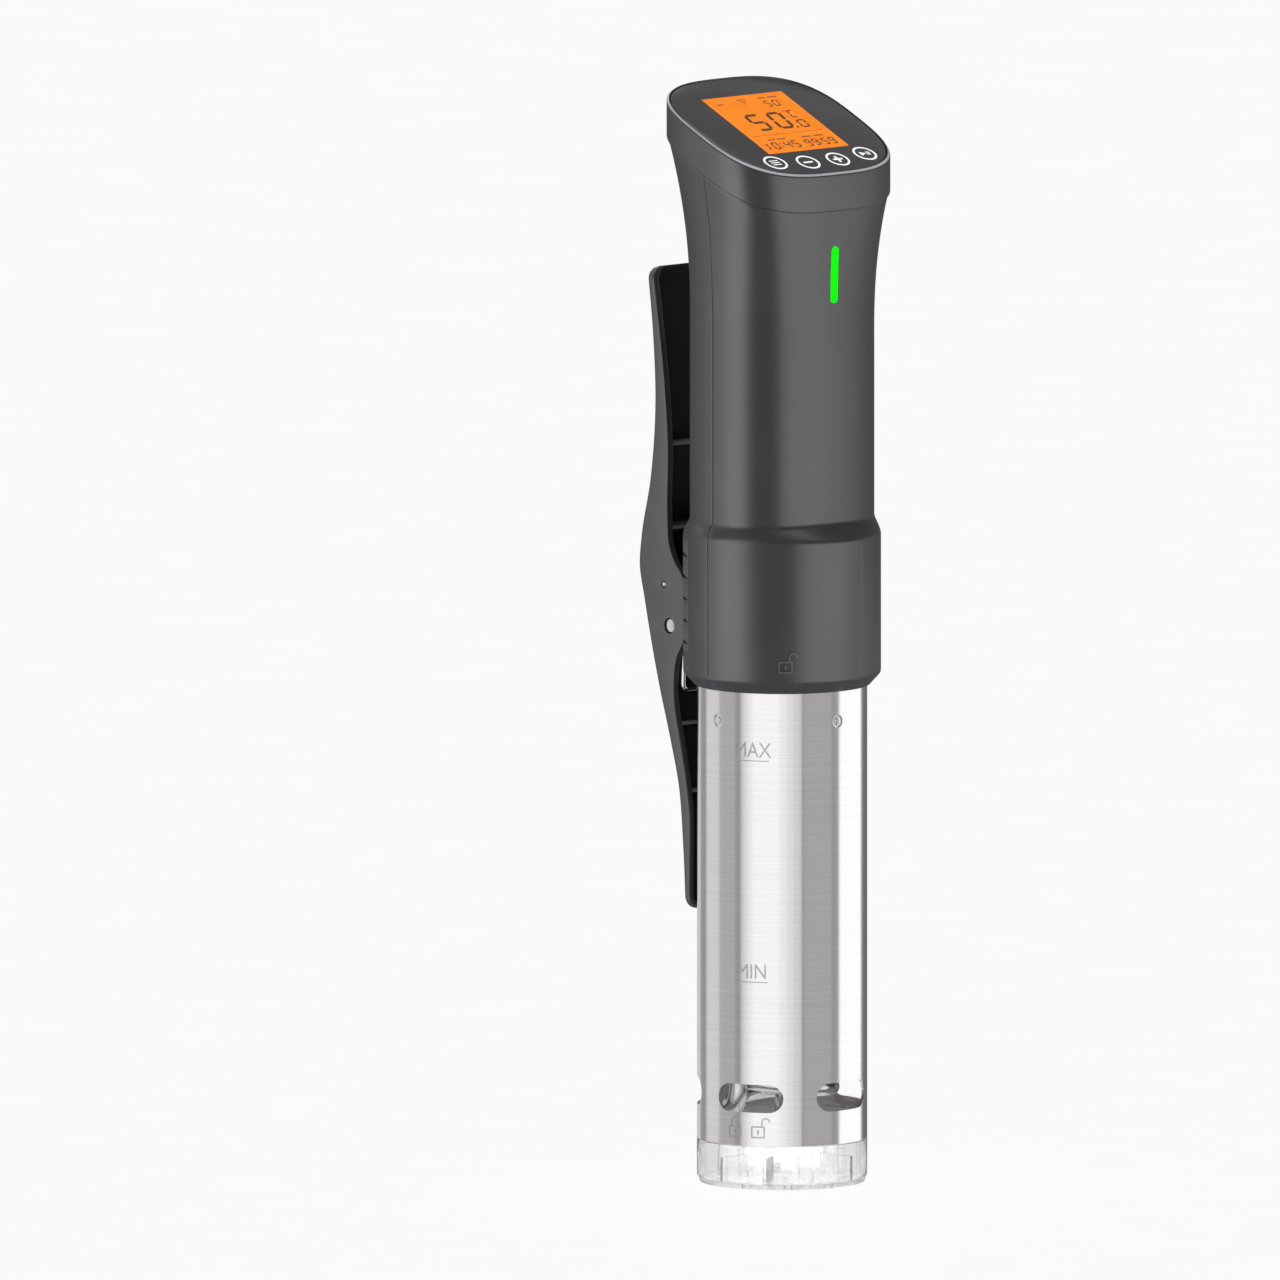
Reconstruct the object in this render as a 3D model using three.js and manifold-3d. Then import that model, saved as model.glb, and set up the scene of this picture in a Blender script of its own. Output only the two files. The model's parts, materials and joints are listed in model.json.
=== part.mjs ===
// A sous vide circulator: a steel tube that stands in the water, a slim handle with a slanted
// display on top, and a sprung lever that clips it to the rim of a pot.
// Millimetres. +Z runs up the tube's axis from the middle of the clear end cap's flat bottom.
// The display faces -Y and the clip is on the +Y side. A bearing is measured from the front,
// -Y, towards +X.
import * as THREE from "three";
import { mergeVertices } from "three/addons/utils/BufferGeometryUtils.js";
import Module from "manifold-3d";

// Driving dimensions
const TUBE_R = 29; // outside of the steel sleeve
const TUBE_WALL = 0.8;
const TUBE_BOTTOM = 15;
const TUBE_TOP = 173;
const GAP = 0.3; // air left between neighbouring pieces
const SIDES = 36; // flats round each large piece

const SLOT_COUNT = 5;
const SLOT_Z = 31.3;
const SLOT_HEIGHT = 9.6;
const SLOT_LENGTH = 24;
const SLOT_BEARING = 7.4; // the first slot, just right of the front
const LUG_Z = 160.2; // the four pressed lugs that hold the sleeve
const LUG_COUNT = 4;
const CAP_LUG_Z = 18.4; // the two inner lugs that hold the end cap
const CAP_LUG_BEARING = 20;
const SLEEVE_TWIST = 20; // degrees from locked to free
const CAP_TWIST = 18.6;

const COLLAR_LOW = 170.5; // underside of the dark chamfered collar
const HOUSING_BOTTOM = 175.8;
const HOUSING_R = 33.7;
const SHOULDER_LOW = 222.8;
const SHOULDER_TOP = 227.6;
const WALL = 2.6; // plastic shells

const WAIST = { a: 31.4, b: 27.15, n: 2.43 }; // oval handle, half width, half depth, squareness
const HEAD = { a: 35.7, b: 30.7, n: 3 }; // the same where it meets the head collar
const HEAD_Y = 1.9; // the head stands this far behind the tube's axis
const FLARE_START = 296;
const FLARE_POWER = 2.2;
const HEAD_LOW = 349; // head collar, measured up the line y = HEAD_Y
const HEAD_TOP = 361.96;
const HEAD_STEP = 0.5; // the collar stands out this far from the handle
const SLANT = THREE.MathUtils.degToRad(23.4);
const SLOPE = Math.tan(SLANT);
const SCREEN_Y = 3.6; // middle of the screen on the slanted face

const PIVOT_Y = 39.7;
const PIVOT_Z = 187.8;
const PIN_R = 2.4;
const CHEEK_OUT = 16.5; // half width of the lever
const CHEEK_IN = 14;
const LEVER_FLOOR = 1.8;
const WIRE_R = 0.9;
const COIL_R = 3.8; // middle of the spring's wire round the pin

const SHAFT_R = 2.5;

const wasm = await Module();
wasm.setup();
const circulator = new THREE.Group();

// ---- small tools -------------------------------------------------------------------------

function solid(geometry) {
  const bare = new THREE.BufferGeometry().setAttribute("position", geometry.getAttribute("position"));
  if (geometry.index) bare.setIndex(geometry.index);
  const merged = mergeVertices(bare, 1e-4);
  return new wasm.Manifold(
    new wasm.Mesh({
      numProp: 3,
      vertProperties: merged.attributes.position.array,
      triVerts: new Uint32Array(merged.index.array),
    }),
  );
}

function geometryOf(made) {
  const { vertProperties, triVerts } = made.getMesh();
  const geometry = new THREE.BufferGeometry();
  geometry.setAttribute("position", new THREE.BufferAttribute(vertProperties, 3));
  geometry.setIndex(new THREE.BufferAttribute(triVerts, 1));
  return geometry;
}

const join = (first, ...rest) => geometryOf(rest.reduce((sum, g) => sum.add(solid(g)), solid(first)));
const cut = (first, ...rest) => geometryOf(rest.reduce((left, g) => left.subtract(solid(g)), solid(first)));
const common = (first, second) => geometryOf(solid(first).intersect(solid(second)));

function piece(name, geometry, color, roughness, metalness = 0, parent = circulator) {
  geometry.computeVertexNormals();
  const material = new THREE.MeshStandardMaterial({ color, roughness, metalness });
  const mesh = new THREE.Mesh(geometry, material);
  mesh.name = name;
  parent.add(mesh);
  return mesh;
}

function block([x0, x1], [y0, y1], [z0, z1]) {
  const geometry = new THREE.BoxGeometry(x1 - x0, y1 - y0, z1 - z0);
  return geometry.translate((x0 + x1) / 2, (y0 + y1) / 2, (z0 + z1) / 2);
}

// A round bar along Z.
function bar(r, [z0, z1], x = 0, y = 0, sides = 20) {
  const geometry = new THREE.CylinderGeometry(r, r, z1 - z0, sides).rotateX(Math.PI / 2);
  return geometry.translate(x, y, (z0 + z1) / 2);
}

const alongX = (r, [x0, x1], y, z, sides = 20) =>
  new THREE.CylinderGeometry(r, r, x1 - x0, sides).rotateZ(-Math.PI / 2).translate((x0 + x1) / 2, y, z);

const alongY = (r, [y0, y1], x, z, sides = 20) =>
  new THREE.CylinderGeometry(r, r, y1 - y0, sides).translate(x, (y0 + y1) / 2, z);

// A turned piece: its profile is a closed loop of [radius, height] points, drawn anticlockwise.
function turned(profile, sides = SIDES) {
  const loop = [...profile, profile[0]].map(([r, z]) => new THREE.Vector2(r, z));
  return new THREE.LatheGeometry(loop, sides).rotateX(Math.PI / 2);
}

const ring = (inner, outer, [z0, z1], sides = SIDES) =>
  turned([[inner, z0], [outer, z0], [outer, z1], [inner, z1]], sides);

const ball = (r, at) => new THREE.SphereGeometry(r, 12, 8).translate(...at);

// The profile of a turned ring that is round in section.
function circleProfile(r, z, radius, count = 6) {
  return Array.from({ length: count }, (_, i) => {
    const angle = (2 * Math.PI * i) / count;
    return [r + radius * Math.cos(angle), z + radius * Math.sin(angle)];
  });
}

const polar = (r, bearing) => {
  const angle = THREE.MathUtils.degToRad(bearing);
  return [r * Math.sin(angle), -r * Math.cos(angle)];
};

// Turns a geometry made at the front, -Y, round the axis to a bearing.
const atBearing = (geometry, bearing) => geometry.rotateZ(THREE.MathUtils.degToRad(bearing));

// Copies of a geometry made at the front, spaced evenly round the axis.
const around = (count, make, first = 0) =>
  Array.from({ length: count }, (_, i) => atBearing(make(), first + (360 / count) * i));

const bothSides = (make) => [-1, 1].map(make);

// A flat bar outline with round ends, its long side along X.
function obround(length, height) {
  const r = height / 2;
  const half = length / 2 - r;
  const shape = new THREE.Shape();
  shape.moveTo(-half, -r);
  shape.lineTo(half, -r);
  shape.absarc(half, 0, r, -Math.PI / 2, Math.PI / 2);
  shape.lineTo(-half, r);
  shape.absarc(-half, 0, r, Math.PI / 2, (3 * Math.PI) / 2);
  return shape;
}

// Extrudes an outline drawn as (x, z) from y0 back to y1.
function throughY(shape, [y0, y1], curveSegments = 6) {
  const geometry = new THREE.ExtrudeGeometry(shape, { depth: y1 - y0, bevelEnabled: false, curveSegments });
  return geometry.rotateX(Math.PI / 2).translate(0, y1, 0);
}

// Extrudes an outline drawn as (y, z) between two values of x.
function throughX(shape, [x0, x1], curveSegments = 6) {
  const geometry = new THREE.ExtrudeGeometry(shape, { depth: x1 - x0, bevelEnabled: false, curveSegments });
  const turn = new THREE.Matrix4().makeBasis(
    new THREE.Vector3(0, 1, 0),
    new THREE.Vector3(0, 0, 1),
    new THREE.Vector3(1, 0, 0),
  );
  return geometry.applyMatrix4(turn).translate(x0, 0, 0);
}

// Extrudes an outline drawn as (x, y) up from z0 to z1.
function throughZ(shape, [z0, z1], curveSegments = 3) {
  const geometry = new THREE.ExtrudeGeometry(shape, { depth: z1 - z0, bevelEnabled: false, curveSegments });
  return geometry.translate(0, 0, z0);
}

// A round wire along a smooth curve through points.
function wire(points, r, steps, sides) {
  const path = new THREE.CatmullRomCurve3(points.map((p) => new THREE.Vector3(...p)), false, "centripetal");
  const section = new THREE.Shape();
  for (let i = 0; i < sides; i++) {
    const angle = (2 * Math.PI * i) / sides;
    const corner = [r * Math.cos(angle), r * Math.sin(angle)];
    if (i) section.lineTo(...corner);
    else section.moveTo(...corner);
  }
  section.closePath();
  return new THREE.ExtrudeGeometry(section, { steps, extrudePath: path, bevelEnabled: false });
}

// ---- the handle's outer form -----------------------------------------------------------------

const stretch = (value, power) => Math.sign(value) * Math.abs(value) ** power;

// A column of oval sections: a cylinder whose rows are moved to the sections. A section has half
// sizes a and b, squareness n, a centre y, a station s and a slope that leans it back.
function column(sections, sides = SIDES) {
  const rows = sections.length - 1;
  const geometry = new THREE.CylinderGeometry(1, 1, rows, sides, rows).rotateX(Math.PI / 2);
  const place = geometry.getAttribute("position");
  for (let i = 0; i < place.count; i++) {
    const section = sections[Math.round(place.getZ(i) + rows / 2)];
    const x = section.a * stretch(place.getX(i), 2 / section.n);
    const y = section.b * stretch(place.getY(i), 2 / section.n) + section.y;
    place.setXYZ(i, x, y, section.s + section.slope * (y - HEAD_Y));
  }
  return geometry;
}

function housingSection(s, inset) {
  return { s, a: HOUSING_R - inset, b: HOUSING_R - inset, n: 2, y: 0, slope: 0 };
}

function handleSection(s, inset) {
  const flare = Math.max(0, (s - FLARE_START) / (HEAD_LOW - FLARE_START)) ** FLARE_POWER;
  const blend = (low, high) => low + (high - low) * flare;
  return {
    s,
    a: blend(WAIST.a, HEAD.a) - inset,
    b: blend(WAIST.b, HEAD.b) - inset,
    n: blend(WAIST.n, HEAD.n),
    y: HEAD_Y * flare ** 0.6,
    slope: SLOPE * THREE.MathUtils.smoothstep(s, SHOULDER_TOP, FLARE_START),
  };
}

function handleColumn(inset, bottom, top, shoulderDrop) {
  const stations = [FLARE_START, 309, 319, 328, 336, 343, top];
  return column([
    housingSection(bottom, inset),
    housingSection(SHOULDER_LOW - shoulderDrop, inset),
    handleSection(SHOULDER_TOP - shoulderDrop, inset),
    ...stations.map((s) => handleSection(s, inset)),
  ]);
}

// A slanted oval plate of the head between two stations.
const headPlate = (grow, [low, high], sides = SIDES) =>
  column(
    [low, high].map((s) => ({ s, a: HEAD.a + grow, b: HEAD.b + grow, n: HEAD.n, y: HEAD_Y, slope: SLOPE })),
    sides,
  );

// ---- shells ----------------------------------------------------------------------------------

const RACK_Y = 12.6; // the rack band wraps the rear from this depth
const RACK_Z = [186, 221];
const TOOTH_PITCH = 7.45;
const TOOTH_FIRST = 189;
const CORD_Z = 328;
const LIGHT_Z = [303.6, 323.1];
const LIGHT_WIDTH = 3;
const SHELL_SCREWS = [
  [-20.5, 238],
  [20.5, 238],
  [-20.5, 316],
  [20.5, 316],
];
const CLIP_SCREW_Z = [201, 212.5];

// Slots that the lever's cheeks swing into.
const cheekReliefs = (depth, height) =>
  bothSides((side) => {
    const x = [side * (CHEEK_IN - 2 * GAP), side * (CHEEK_OUT + 2 * GAP)].sort((p, q) => p - q);
    return block(x, depth, height);
  });

const lightBar = (grow, depth) => {
  const length = LIGHT_Z[1] - LIGHT_Z[0] + grow;
  const outline = obround(length, LIGHT_WIDTH + grow);
  return throughY(outline, depth)
    .rotateY(Math.PI / 2)
    .translate(0, 0, (LIGHT_Z[0] + LIGHT_Z[1]) / 2);
};

const shellBosses = (depth) => SHELL_SCREWS.map(([x, z]) => alongY(3.4, depth, x, z, 12));
const bossHoles = (r, depth) => SHELL_SCREWS.map(([x, z]) => alongY(r, depth, x, z, 12));

function frontShell(outer, inner) {
  const bosses = common(join(...shellBosses([-30, -GAP / 2])), outer);
  const half = common(cut(outer, inner), block([-50, 50], [-50, -GAP / 2], [100, 400]));
  return cut(join(half, bosses), lightBar(2 * GAP, [-32, -20]), ...bossHoles(1.2 + GAP, [-10, 5]));
}

function rearShell(outer, inner) {
  const bosses = common(join(...shellBosses([GAP / 2, 40])), outer);
  const half = common(cut(outer, inner), block([-50, 50], [GAP / 2, 50], [100, 400]));
  const rackSeat = cut(
    ring(HOUSING_R - 0.5, HOUSING_R + 5, [RACK_Z[0] - GAP, RACK_Z[1] + GAP]),
    block([-50, 50], [-50, RACK_Y - GAP], [100, 400]),
  );
  return cut(
    join(half, bosses),
    rackSeat,
    ...cheekReliefs([29.3, 45], [183, 209]),
    ...bossHoles(1.5 + GAP, [-5, 40]),
    ...bossHoles(2.9 + GAP, [12, 40]),
    alongY(4.4 + GAP, [15, 40], 0, CORD_Z, 16),
    ...CLIP_SCREW_Z.map((z) => alongY(1.4 + GAP, [25, 40], 0, z, 12)),
  );
}

function makeShells() {
  const outer = handleColumn(0, HOUSING_BOTTOM, HEAD_LOW - GAP, 0);
  const inner = handleColumn(WALL, HOUSING_BOTTOM - 1, HEAD_LOW + 1, 2.4);
  piece("front_shell", frontShell(outer, inner), 0x4a4a4c, 0.45);
  piece("rear_shell", rearShell(outer, inner), 0x4a4a4c, 0.45);
  const proud = handleColumn(-0.1, HOUSING_BOTTOM, HEAD_LOW - GAP, 0);
  piece("light_pipe", common(lightBar(0, [-32, -23.4]), proud), 0x00ee22, 0.3);
  piece("led_board", block([-5, 5], [-22.9, -21.4], [301, 327]), 0x1f6b3a, 0.6);
  SHELL_SCREWS.forEach(([x, z], i) => {
    const screw = join(alongY(2.9, [12.6, 14.8], x, z, 12), alongY(1.2, [-9, 12.8], x, z, 12));
    piece(`shell_screw_${i + 1}`, screw, 0xb5b7ba, 0.35, 1);
  });
}

// The grommet that the mains lead comes out of, in the rear shell.
function makeCordGland() {
  const bore = 3.3;
  const wallY = 28.1;
  const profile = [
    [bore, -3.6],
    [6, -3.6],
    [6, -3.1],
    [4.4, -3.1],
    [4.4, 0.7],
    [6.4, 0.7],
    [5.2, 3.2],
    [bore, 3.2],
  ];
  const gland = turned(profile, 20).rotateX(-Math.PI / 2).translate(0, wallY, CORD_Z);
  piece("cord_gland", gland, 0x1c1c1d, 0.75);
}

// ---- head ------------------------------------------------------------------------------------

const LENS = -0.8; // the lens is this much smaller all round than the handle's top
const KEYS = [
  [-19.8, 25],
  [-6.7, 26.8],
  [6.7, 26.8],
  [19.8, 25],
];

function makeHead() {
  const bevel = 0.6;
  const rows = [
    [HEAD_LOW, HEAD_STEP],
    [HEAD_TOP - bevel, HEAD_STEP],
    [HEAD_TOP, HEAD_STEP - bevel],
  ];
  const outside = column(
    rows.map(([s, grow]) => ({ s, a: HEAD.a + grow, b: HEAD.b + grow, n: HEAD.n, y: HEAD_Y, slope: SLOPE })),
  );
  const collar = cut(
    outside,
    headPlate(LENS + GAP, [HEAD_TOP - 1.9, HEAD_TOP + 2]),
    headPlate(-2.4, [HEAD_LOW - 2, HEAD_TOP]),
  );
  piece("head_collar", collar, 0x3d3d3f, 0.42);
  piece("display_lens", headPlate(LENS, [HEAD_TOP - 1.6, HEAD_TOP - 0.05]), 0x262628, 0.12);
  piece("display_board", headPlate(-4.8, [352.4, 354], 32), 0x1f6b3a, 0.6);

  // u to the right and up the face, n out of it, from the middle of the screen
  const face = new THREE.Group();
  face.position.set(0, SCREEN_Y, HEAD_TOP + (SCREEN_Y - HEAD_Y) * SLOPE);
  face.rotation.x = SLANT;
  circulator.add(face);
  piece("lcd_panel", block([-20, 20], [-21, 21], [-3.9, -1.9]), 0xf08a2a, 0.25, 0, face);
  piece("lcd_backlight", block([-19, 19], [-20, 20], [-5.8, -4.2]), 0xf5efe2, 0.5, 0, face);
  KEYS.forEach(([u, down], i) => {
    const spring = ring(1.2, 2.2, [-7, -1.95], 14).translate(u, -down, 0);
    piece(`touch_spring_${i + 1}`, spring, 0xc9a24a, 0.35, 1, face);
  });
  piece("buzzer", bar(5, [-13.6, -9.1], 14, 9), 0x141415, 0.5, 0, face);
}

// ---- electronics in the handle -----------------------------------------------------------------

function makeElectronics() {
  const boardY = [4.2, 5.8];
  const front = boardY[0] - GAP;
  piece("power_board", block([-15, 15], boardY, [236, 300]), 0x1f6b3a, 0.6);
  const core = block([-11, 11], [-13, front], [243, 259]);
  const winding = block([-8, 8], [-11, front - 2], [239, 263]);
  piece("transformer", join(core, winding), 0x7a6a3c, 0.5);
  piece("capacitor", alongY(5.5, [-11, front], -8, 273), 0x26364f, 0.4);
  piece("relay", block([-2, 13], [-7, front], [279, 298]), 0x2b5c8c, 0.45);
  const fins = [-12, -6, 0, 6, 12].map((x) => block([x - 0.8, x + 0.8], [7.5, 17], [264, 296]));
  const plate = block([-12.8, 12.8], [boardY[1] + GAP, 8.2], [264, 296]);
  piece("heat_sink", join(plate, ...fins), 0xb9bcc0, 0.4, 1);
}

// ---- motor and drive ---------------------------------------------------------------------------

const MOTOR_SCREWS = [-12, 12];

function makeMotor() {
  const holes = MOTOR_SCREWS.map((x) => bar(1.4 + GAP, [180, 194], x, 0, 12));
  const can = join(bar(18.5, [190, 226], 0, 0, 32), bar(7, [225, 230], 0, 0, 20));
  piece("motor", cut(can, bar(2 + GAP, [180, 206], 0, 0, 14), ...holes), 0x9a9da1, 0.35, 1);
  const bracket = bar(30.4, [186.4, 189.4], 0, 0, 32);
  piece("motor_bracket", cut(bracket, bar(7, [180, 195]), ...holes), 0x8d9094, 0.4, 1);
  MOTOR_SCREWS.forEach((x, i) => {
    const screw = join(bar(2.8, [184, 186], x, 0, 12), bar(1.4, [185, 193], x, 0, 12));
    piece(`motor_screw_${i + 1}`, screw, 0xb5b7ba, 0.35, 1);
  });
  piece("motor_shaft", bar(2, [176.2, 205], 0, 0, 14), 0xc8cacc, 0.25, 1);
  piece("shaft_coupling", ring(SHAFT_R + GAP, 5.2, [169, 182.5], 20), 0xa9733a, 0.4, 1);
  piece("drive_shaft", bar(SHAFT_R, [3.4, 175.8], 0, 0, 16), 0xd0d2d4, 0.22, 1);
}

function makeImpeller() {
  const hub = bar(5, [6.2, 13], 0, 0, 18);
  const shroud = bar(13, [11.8, 13], 0, 0, 32);
  const blades = around(6, () => block([-0.6, 0.6], [-12.6, -3.5], [4.6, 12]), 20);
  const wheel = cut(join(hub, shroud, ...blades), bar(SHAFT_R + GAP, [0, 20], 0, 0, 16));
  piece("impeller", cut(wheel, bar(4.2, [0, 6.2], 0, 0, 16)), 0xe9e9e6, 0.4);
  const nut = cut(bar(3.8, [2.9, 5.8], 0, 0, 6), bar(SHAFT_R + GAP, [0, 20], 0, 0, 16));
  piece("impeller_nut", nut, 0xb5b7ba, 0.3, 1);
}

// ---- heater ------------------------------------------------------------------------------------

const HUB_R = 27.5;
const HEATER_TUBE_R = 3.2;
const HEATER_COIL_R = 16.4;
const LEG_A = { r: HEATER_COIL_R, bearing: 112 };
const LEG_B = { r: 23.5, bearing: -80 };
const LEG_B_TOP_R = 20.6; // leg B leans in to pass inside the seal
const LEG_TOP = 166;
const PROBE_AT = polar(9.2, 178);
const LEVEL_PROBES = [
  [22.2, 158],
  [22.2, 178],
];
const PLATE_Z = [64, 67];

// From the top of leg A down, two and a half turns of coil, then out and up leg B.
function heaterPath() {
  const points = [];
  const put = (r, bearing, z) => points.push([...polar(r, bearing), z]);
  const turns = LEG_B.bearing + 3 * 360 - LEG_A.bearing;
  [LEG_TOP, 110, 72, 60].forEach((z) => put(LEG_A.r, LEG_A.bearing, z));
  for (let turn = 20; turn <= turns - 60; turn += 24) {
    put(HEATER_COIL_R, LEG_A.bearing + turn, 50 - (24 * turn) / turns);
  }
  put(18.6, LEG_B.bearing - 30, 26.4);
  put(22.4, LEG_B.bearing - 7, 27.6);
  [33, 42, 52, 62, 72, 90].forEach((z) => put(LEG_B.r, LEG_B.bearing, z));
  [140, LEG_TOP].forEach((z) => put(LEG_B_TOP_R, LEG_B.bearing, z));
  return points;
}

// A lug's way in the hub: along the hub while it is twisted, then down and out.
function lugTrack() {
  const depth = [-30, -HUB_R + 1.4];
  const along = [];
  for (let turn = 0; turn <= SLEEVE_TWIST; turn += 5) {
    along.push(atBearing(block([-2.6, 2.6], depth, [LUG_Z - 2.7, LUG_Z + 2.7]), turn));
  }
  return join(...along, atBearing(block([-2.9, 2.9], depth, [140, LUG_Z + 2.7]), SLEEVE_TWIST));
}

function makeHeater() {
  const hub = turned([
    [6.5, 149],
    [HUB_R, 149],
    [HUB_R, 173.2],
    [23.4, 173.2],
    [23.4, 177.6],
    [30.4, 177.6],
    [30.4, 180.6],
    [6.5, 180.6],
  ]);
  const seal = ring(25, 29, [151.4, 154.6]);
  const legTops = [polar(LEG_A.r, LEG_A.bearing), polar(LEG_B_TOP_R, LEG_B.bearing)];
  const sockets = legTops.map((at) => bar(HEATER_TUBE_R + GAP, [140, LEG_TOP + GAP], ...at, 14));
  const probes = [
    bar(2 + GAP, [140, 169 + GAP], ...PROBE_AT, 12),
    ...LEVEL_PROBES.map(([r, bearing]) => bar(1.4 + GAP, [140, 169 + GAP], ...polar(r, bearing), 12)),
  ];
  const tracks = around(LUG_COUNT, lugTrack);
  piece("heater_flange", cut(hub, seal, ...sockets, ...probes, ...tracks), 0x2a2a2b, 0.5);
  piece("seal_ring", turned(circleProfile(26.55, 153, 1.2), 24), 0x8a2f22, 0.7);
  piece("shaft_bearing", ring(SHAFT_R + GAP, 6.2, [158, 165], 20), 0xb08d3c, 0.35, 1);
  piece("shaft_seal", ring(SHAFT_R + GAP, 6.2, [150, 156], 20), 0x1b1b1c, 0.7);
  piece("heating_coil", wire(heaterPath(), HEATER_TUBE_R, 96, 7), 0xc9cbce, 0.25, 1);
  const rounded = join(bar(2, [30, 169], ...PROBE_AT, 12), ball(2, [...PROBE_AT, 30]));
  piece("temperature_probe", rounded, 0xc9cbce, 0.25, 1);
  LEVEL_PROBES.forEach(([r, bearing], i) => {
    piece(`level_probe_${i + 1}`, bar(1.4, [68, 169], ...polar(r, bearing), 12), 0xc9cbce, 0.25, 1);
  });
}

// The plastic plate that steadies the shaft, the tubes and the probes above the coil.
function makeSupportPlate() {
  const legs = [LEG_A, LEG_B].map((leg) =>
    bar(HEATER_TUBE_R + 2 * GAP, [50, 70], ...polar(leg.r, leg.bearing), 14),
  );
  const flow = [-50, -15, 20, 55].map((bearing) => bar(4.6, [50, 70], ...polar(17, bearing), 14));
  const plate = cut(
    bar(TUBE_R - TUBE_WALL - 0.5, PLATE_Z, 0, 0, 40),
    bar(SHAFT_R + GAP, [50, 70], 0, 0, 16),
    bar(2 + GAP, [50, 70], ...PROBE_AT, 12),
    ...legs,
    ...flow,
  );
  piece("support_plate", plate, 0x2a2a2b, 0.5);
}

// ---- sleeve, collar and end cap ------------------------------------------------------------------

function makeCollar() {
  const profile = [
    [TUBE_R + 0.4, COLLAR_LOW],
    [TUBE_R + 0.8, COLLAR_LOW],
    [HOUSING_R, HOUSING_BOTTOM - 1.1],
    [HOUSING_R, HOUSING_BOTTOM - GAP],
    [HOUSING_R - WALL - GAP, HOUSING_BOTTOM - GAP],
    [HOUSING_R - WALL - GAP, 177.2],
    [24, 177.2],
    [24, TUBE_TOP + 0.5],
    [TUBE_R + 0.4, TUBE_TOP + 0.5],
  ];
  piece("housing_collar", turned(profile), 0x2c2c2e, 0.5);
}

function makeSleeve() {
  const inner = TUBE_R - TUBE_WALL;
  const slot = () => throughY(obround(SLOT_LENGTH, SLOT_HEIGHT), [-35, -20]).translate(0, 0, SLOT_Z);
  const slots = around(SLOT_COUNT, slot, SLOT_BEARING);
  const bumps = around(LUG_COUNT, () => alongY(2, [-inner - 0.4, -inner + 0.8], 0, LUG_Z, 10));
  const dents = around(LUG_COUNT, () => alongY(2.25, [-TUBE_R - 2, -TUBE_R + 0.4], 0, LUG_Z, 12));
  const capLug = () => block([-2, 2], [-inner - 0.4, -inner + 1.2], [CAP_LUG_Z - 1, CAP_LUG_Z + 1]);
  const capLugs = around(2, capLug, CAP_LUG_BEARING);
  const tube = join(ring(inner, TUBE_R, [TUBE_BOTTOM, TUBE_TOP]), ...bumps, ...capLugs);
  piece("steel_sleeve", cut(tube, ...slots, ...dents), 0xc4c5c8, 0.28, 1);
}

// The clear end cap: an outer wall, a floor with water inlets, ribs, and a skirt that twists
// into the sleeve past its two lugs.
function makeEndCap() {
  const top = TUBE_BOTTOM - GAP;
  const skirt = TUBE_R - TUBE_WALL - 0.4;
  const body = turned([
    [0.001, 0],
    [TUBE_R - 0.9, 0],
    [TUBE_R - 0.5, 1.6],
    [TUBE_R, 2.2],
    [TUBE_R, top],
    [skirt, top],
    [skirt, 22.5],
    [skirt - 1.6, 22.5],
    [skirt - 1.6, 2],
    [0.001, 2],
  ]);
  const plugged = join(body, bar(2, [0, 2], 0, 0, 12));
  const volute = ring(14.2, 15.4, [1.8, 13.4], 32);
  const hole = (length, width, r) =>
    throughZ(obround(length, width), [-3, 5]).rotateZ(Math.PI / 2).translate(0, -r, 0);
  const ribs = around(10, () => block([-0.6, 0.6], [-skirt, -15], [1.6, 10]), 18);
  const outlets = around(5, () => block([-3.6, 3.6], [-18, -10], [4.5, 20]), 36);
  const inlets = around(10, () => hole(4.4, 2.6, 21.6));
  const intake = around(5, () => hole(5.4, 2.8, 9));
  const tracks = around(2, () => capTrack(skirt), CAP_LUG_BEARING);
  const ringWall = cut(volute, ...outlets);
  piece("end_cap", cut(join(plugged, ringWall, ...ribs), ...inlets, ...intake, ...tracks), 0xf4f6f7, 0.08);
}

// The sleeve's lug stays still while the cap turns forwards, so its way runs backwards on the cap.
function capTrack(skirt) {
  const depth = [-skirt - 1, -skirt + 1.25];
  const along = [];
  for (let turn = 0; turn <= CAP_TWIST; turn += CAP_TWIST / 3) {
    along.push(atBearing(block([-2.5, 2.5], depth, [CAP_LUG_Z - 1.4, CAP_LUG_Z + 1.4]), -turn));
  }
  return join(...along, atBearing(block([-2.6, 2.6], depth, [CAP_LUG_Z - 1.4, 24]), -CAP_TWIST));
}

// ---- clip --------------------------------------------------------------------------------------

const LEVER_LOW = 91.5;
const LEVER_TOP = 310.2;
const LEVER_CORNER = 4.5;
const LEVER_HOLLOW = [94.5, 307];
const LEVER_RIBS = [249.8, 221, 154.3, 131.7];
const HOOK = [42.5, 201.8]; // where each spring leg hooks into its cheek, as (y, z)
const HOOK_R = 1.25;
const BAIL_X = 12.7; // the spring's coil starts here and ends at LEG_X
const LEG_X = 10.4;
const LEG_TAKEOFF = 153.3; // degrees round the pin from +Y towards +Z, where the leg leaves the coil

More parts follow.
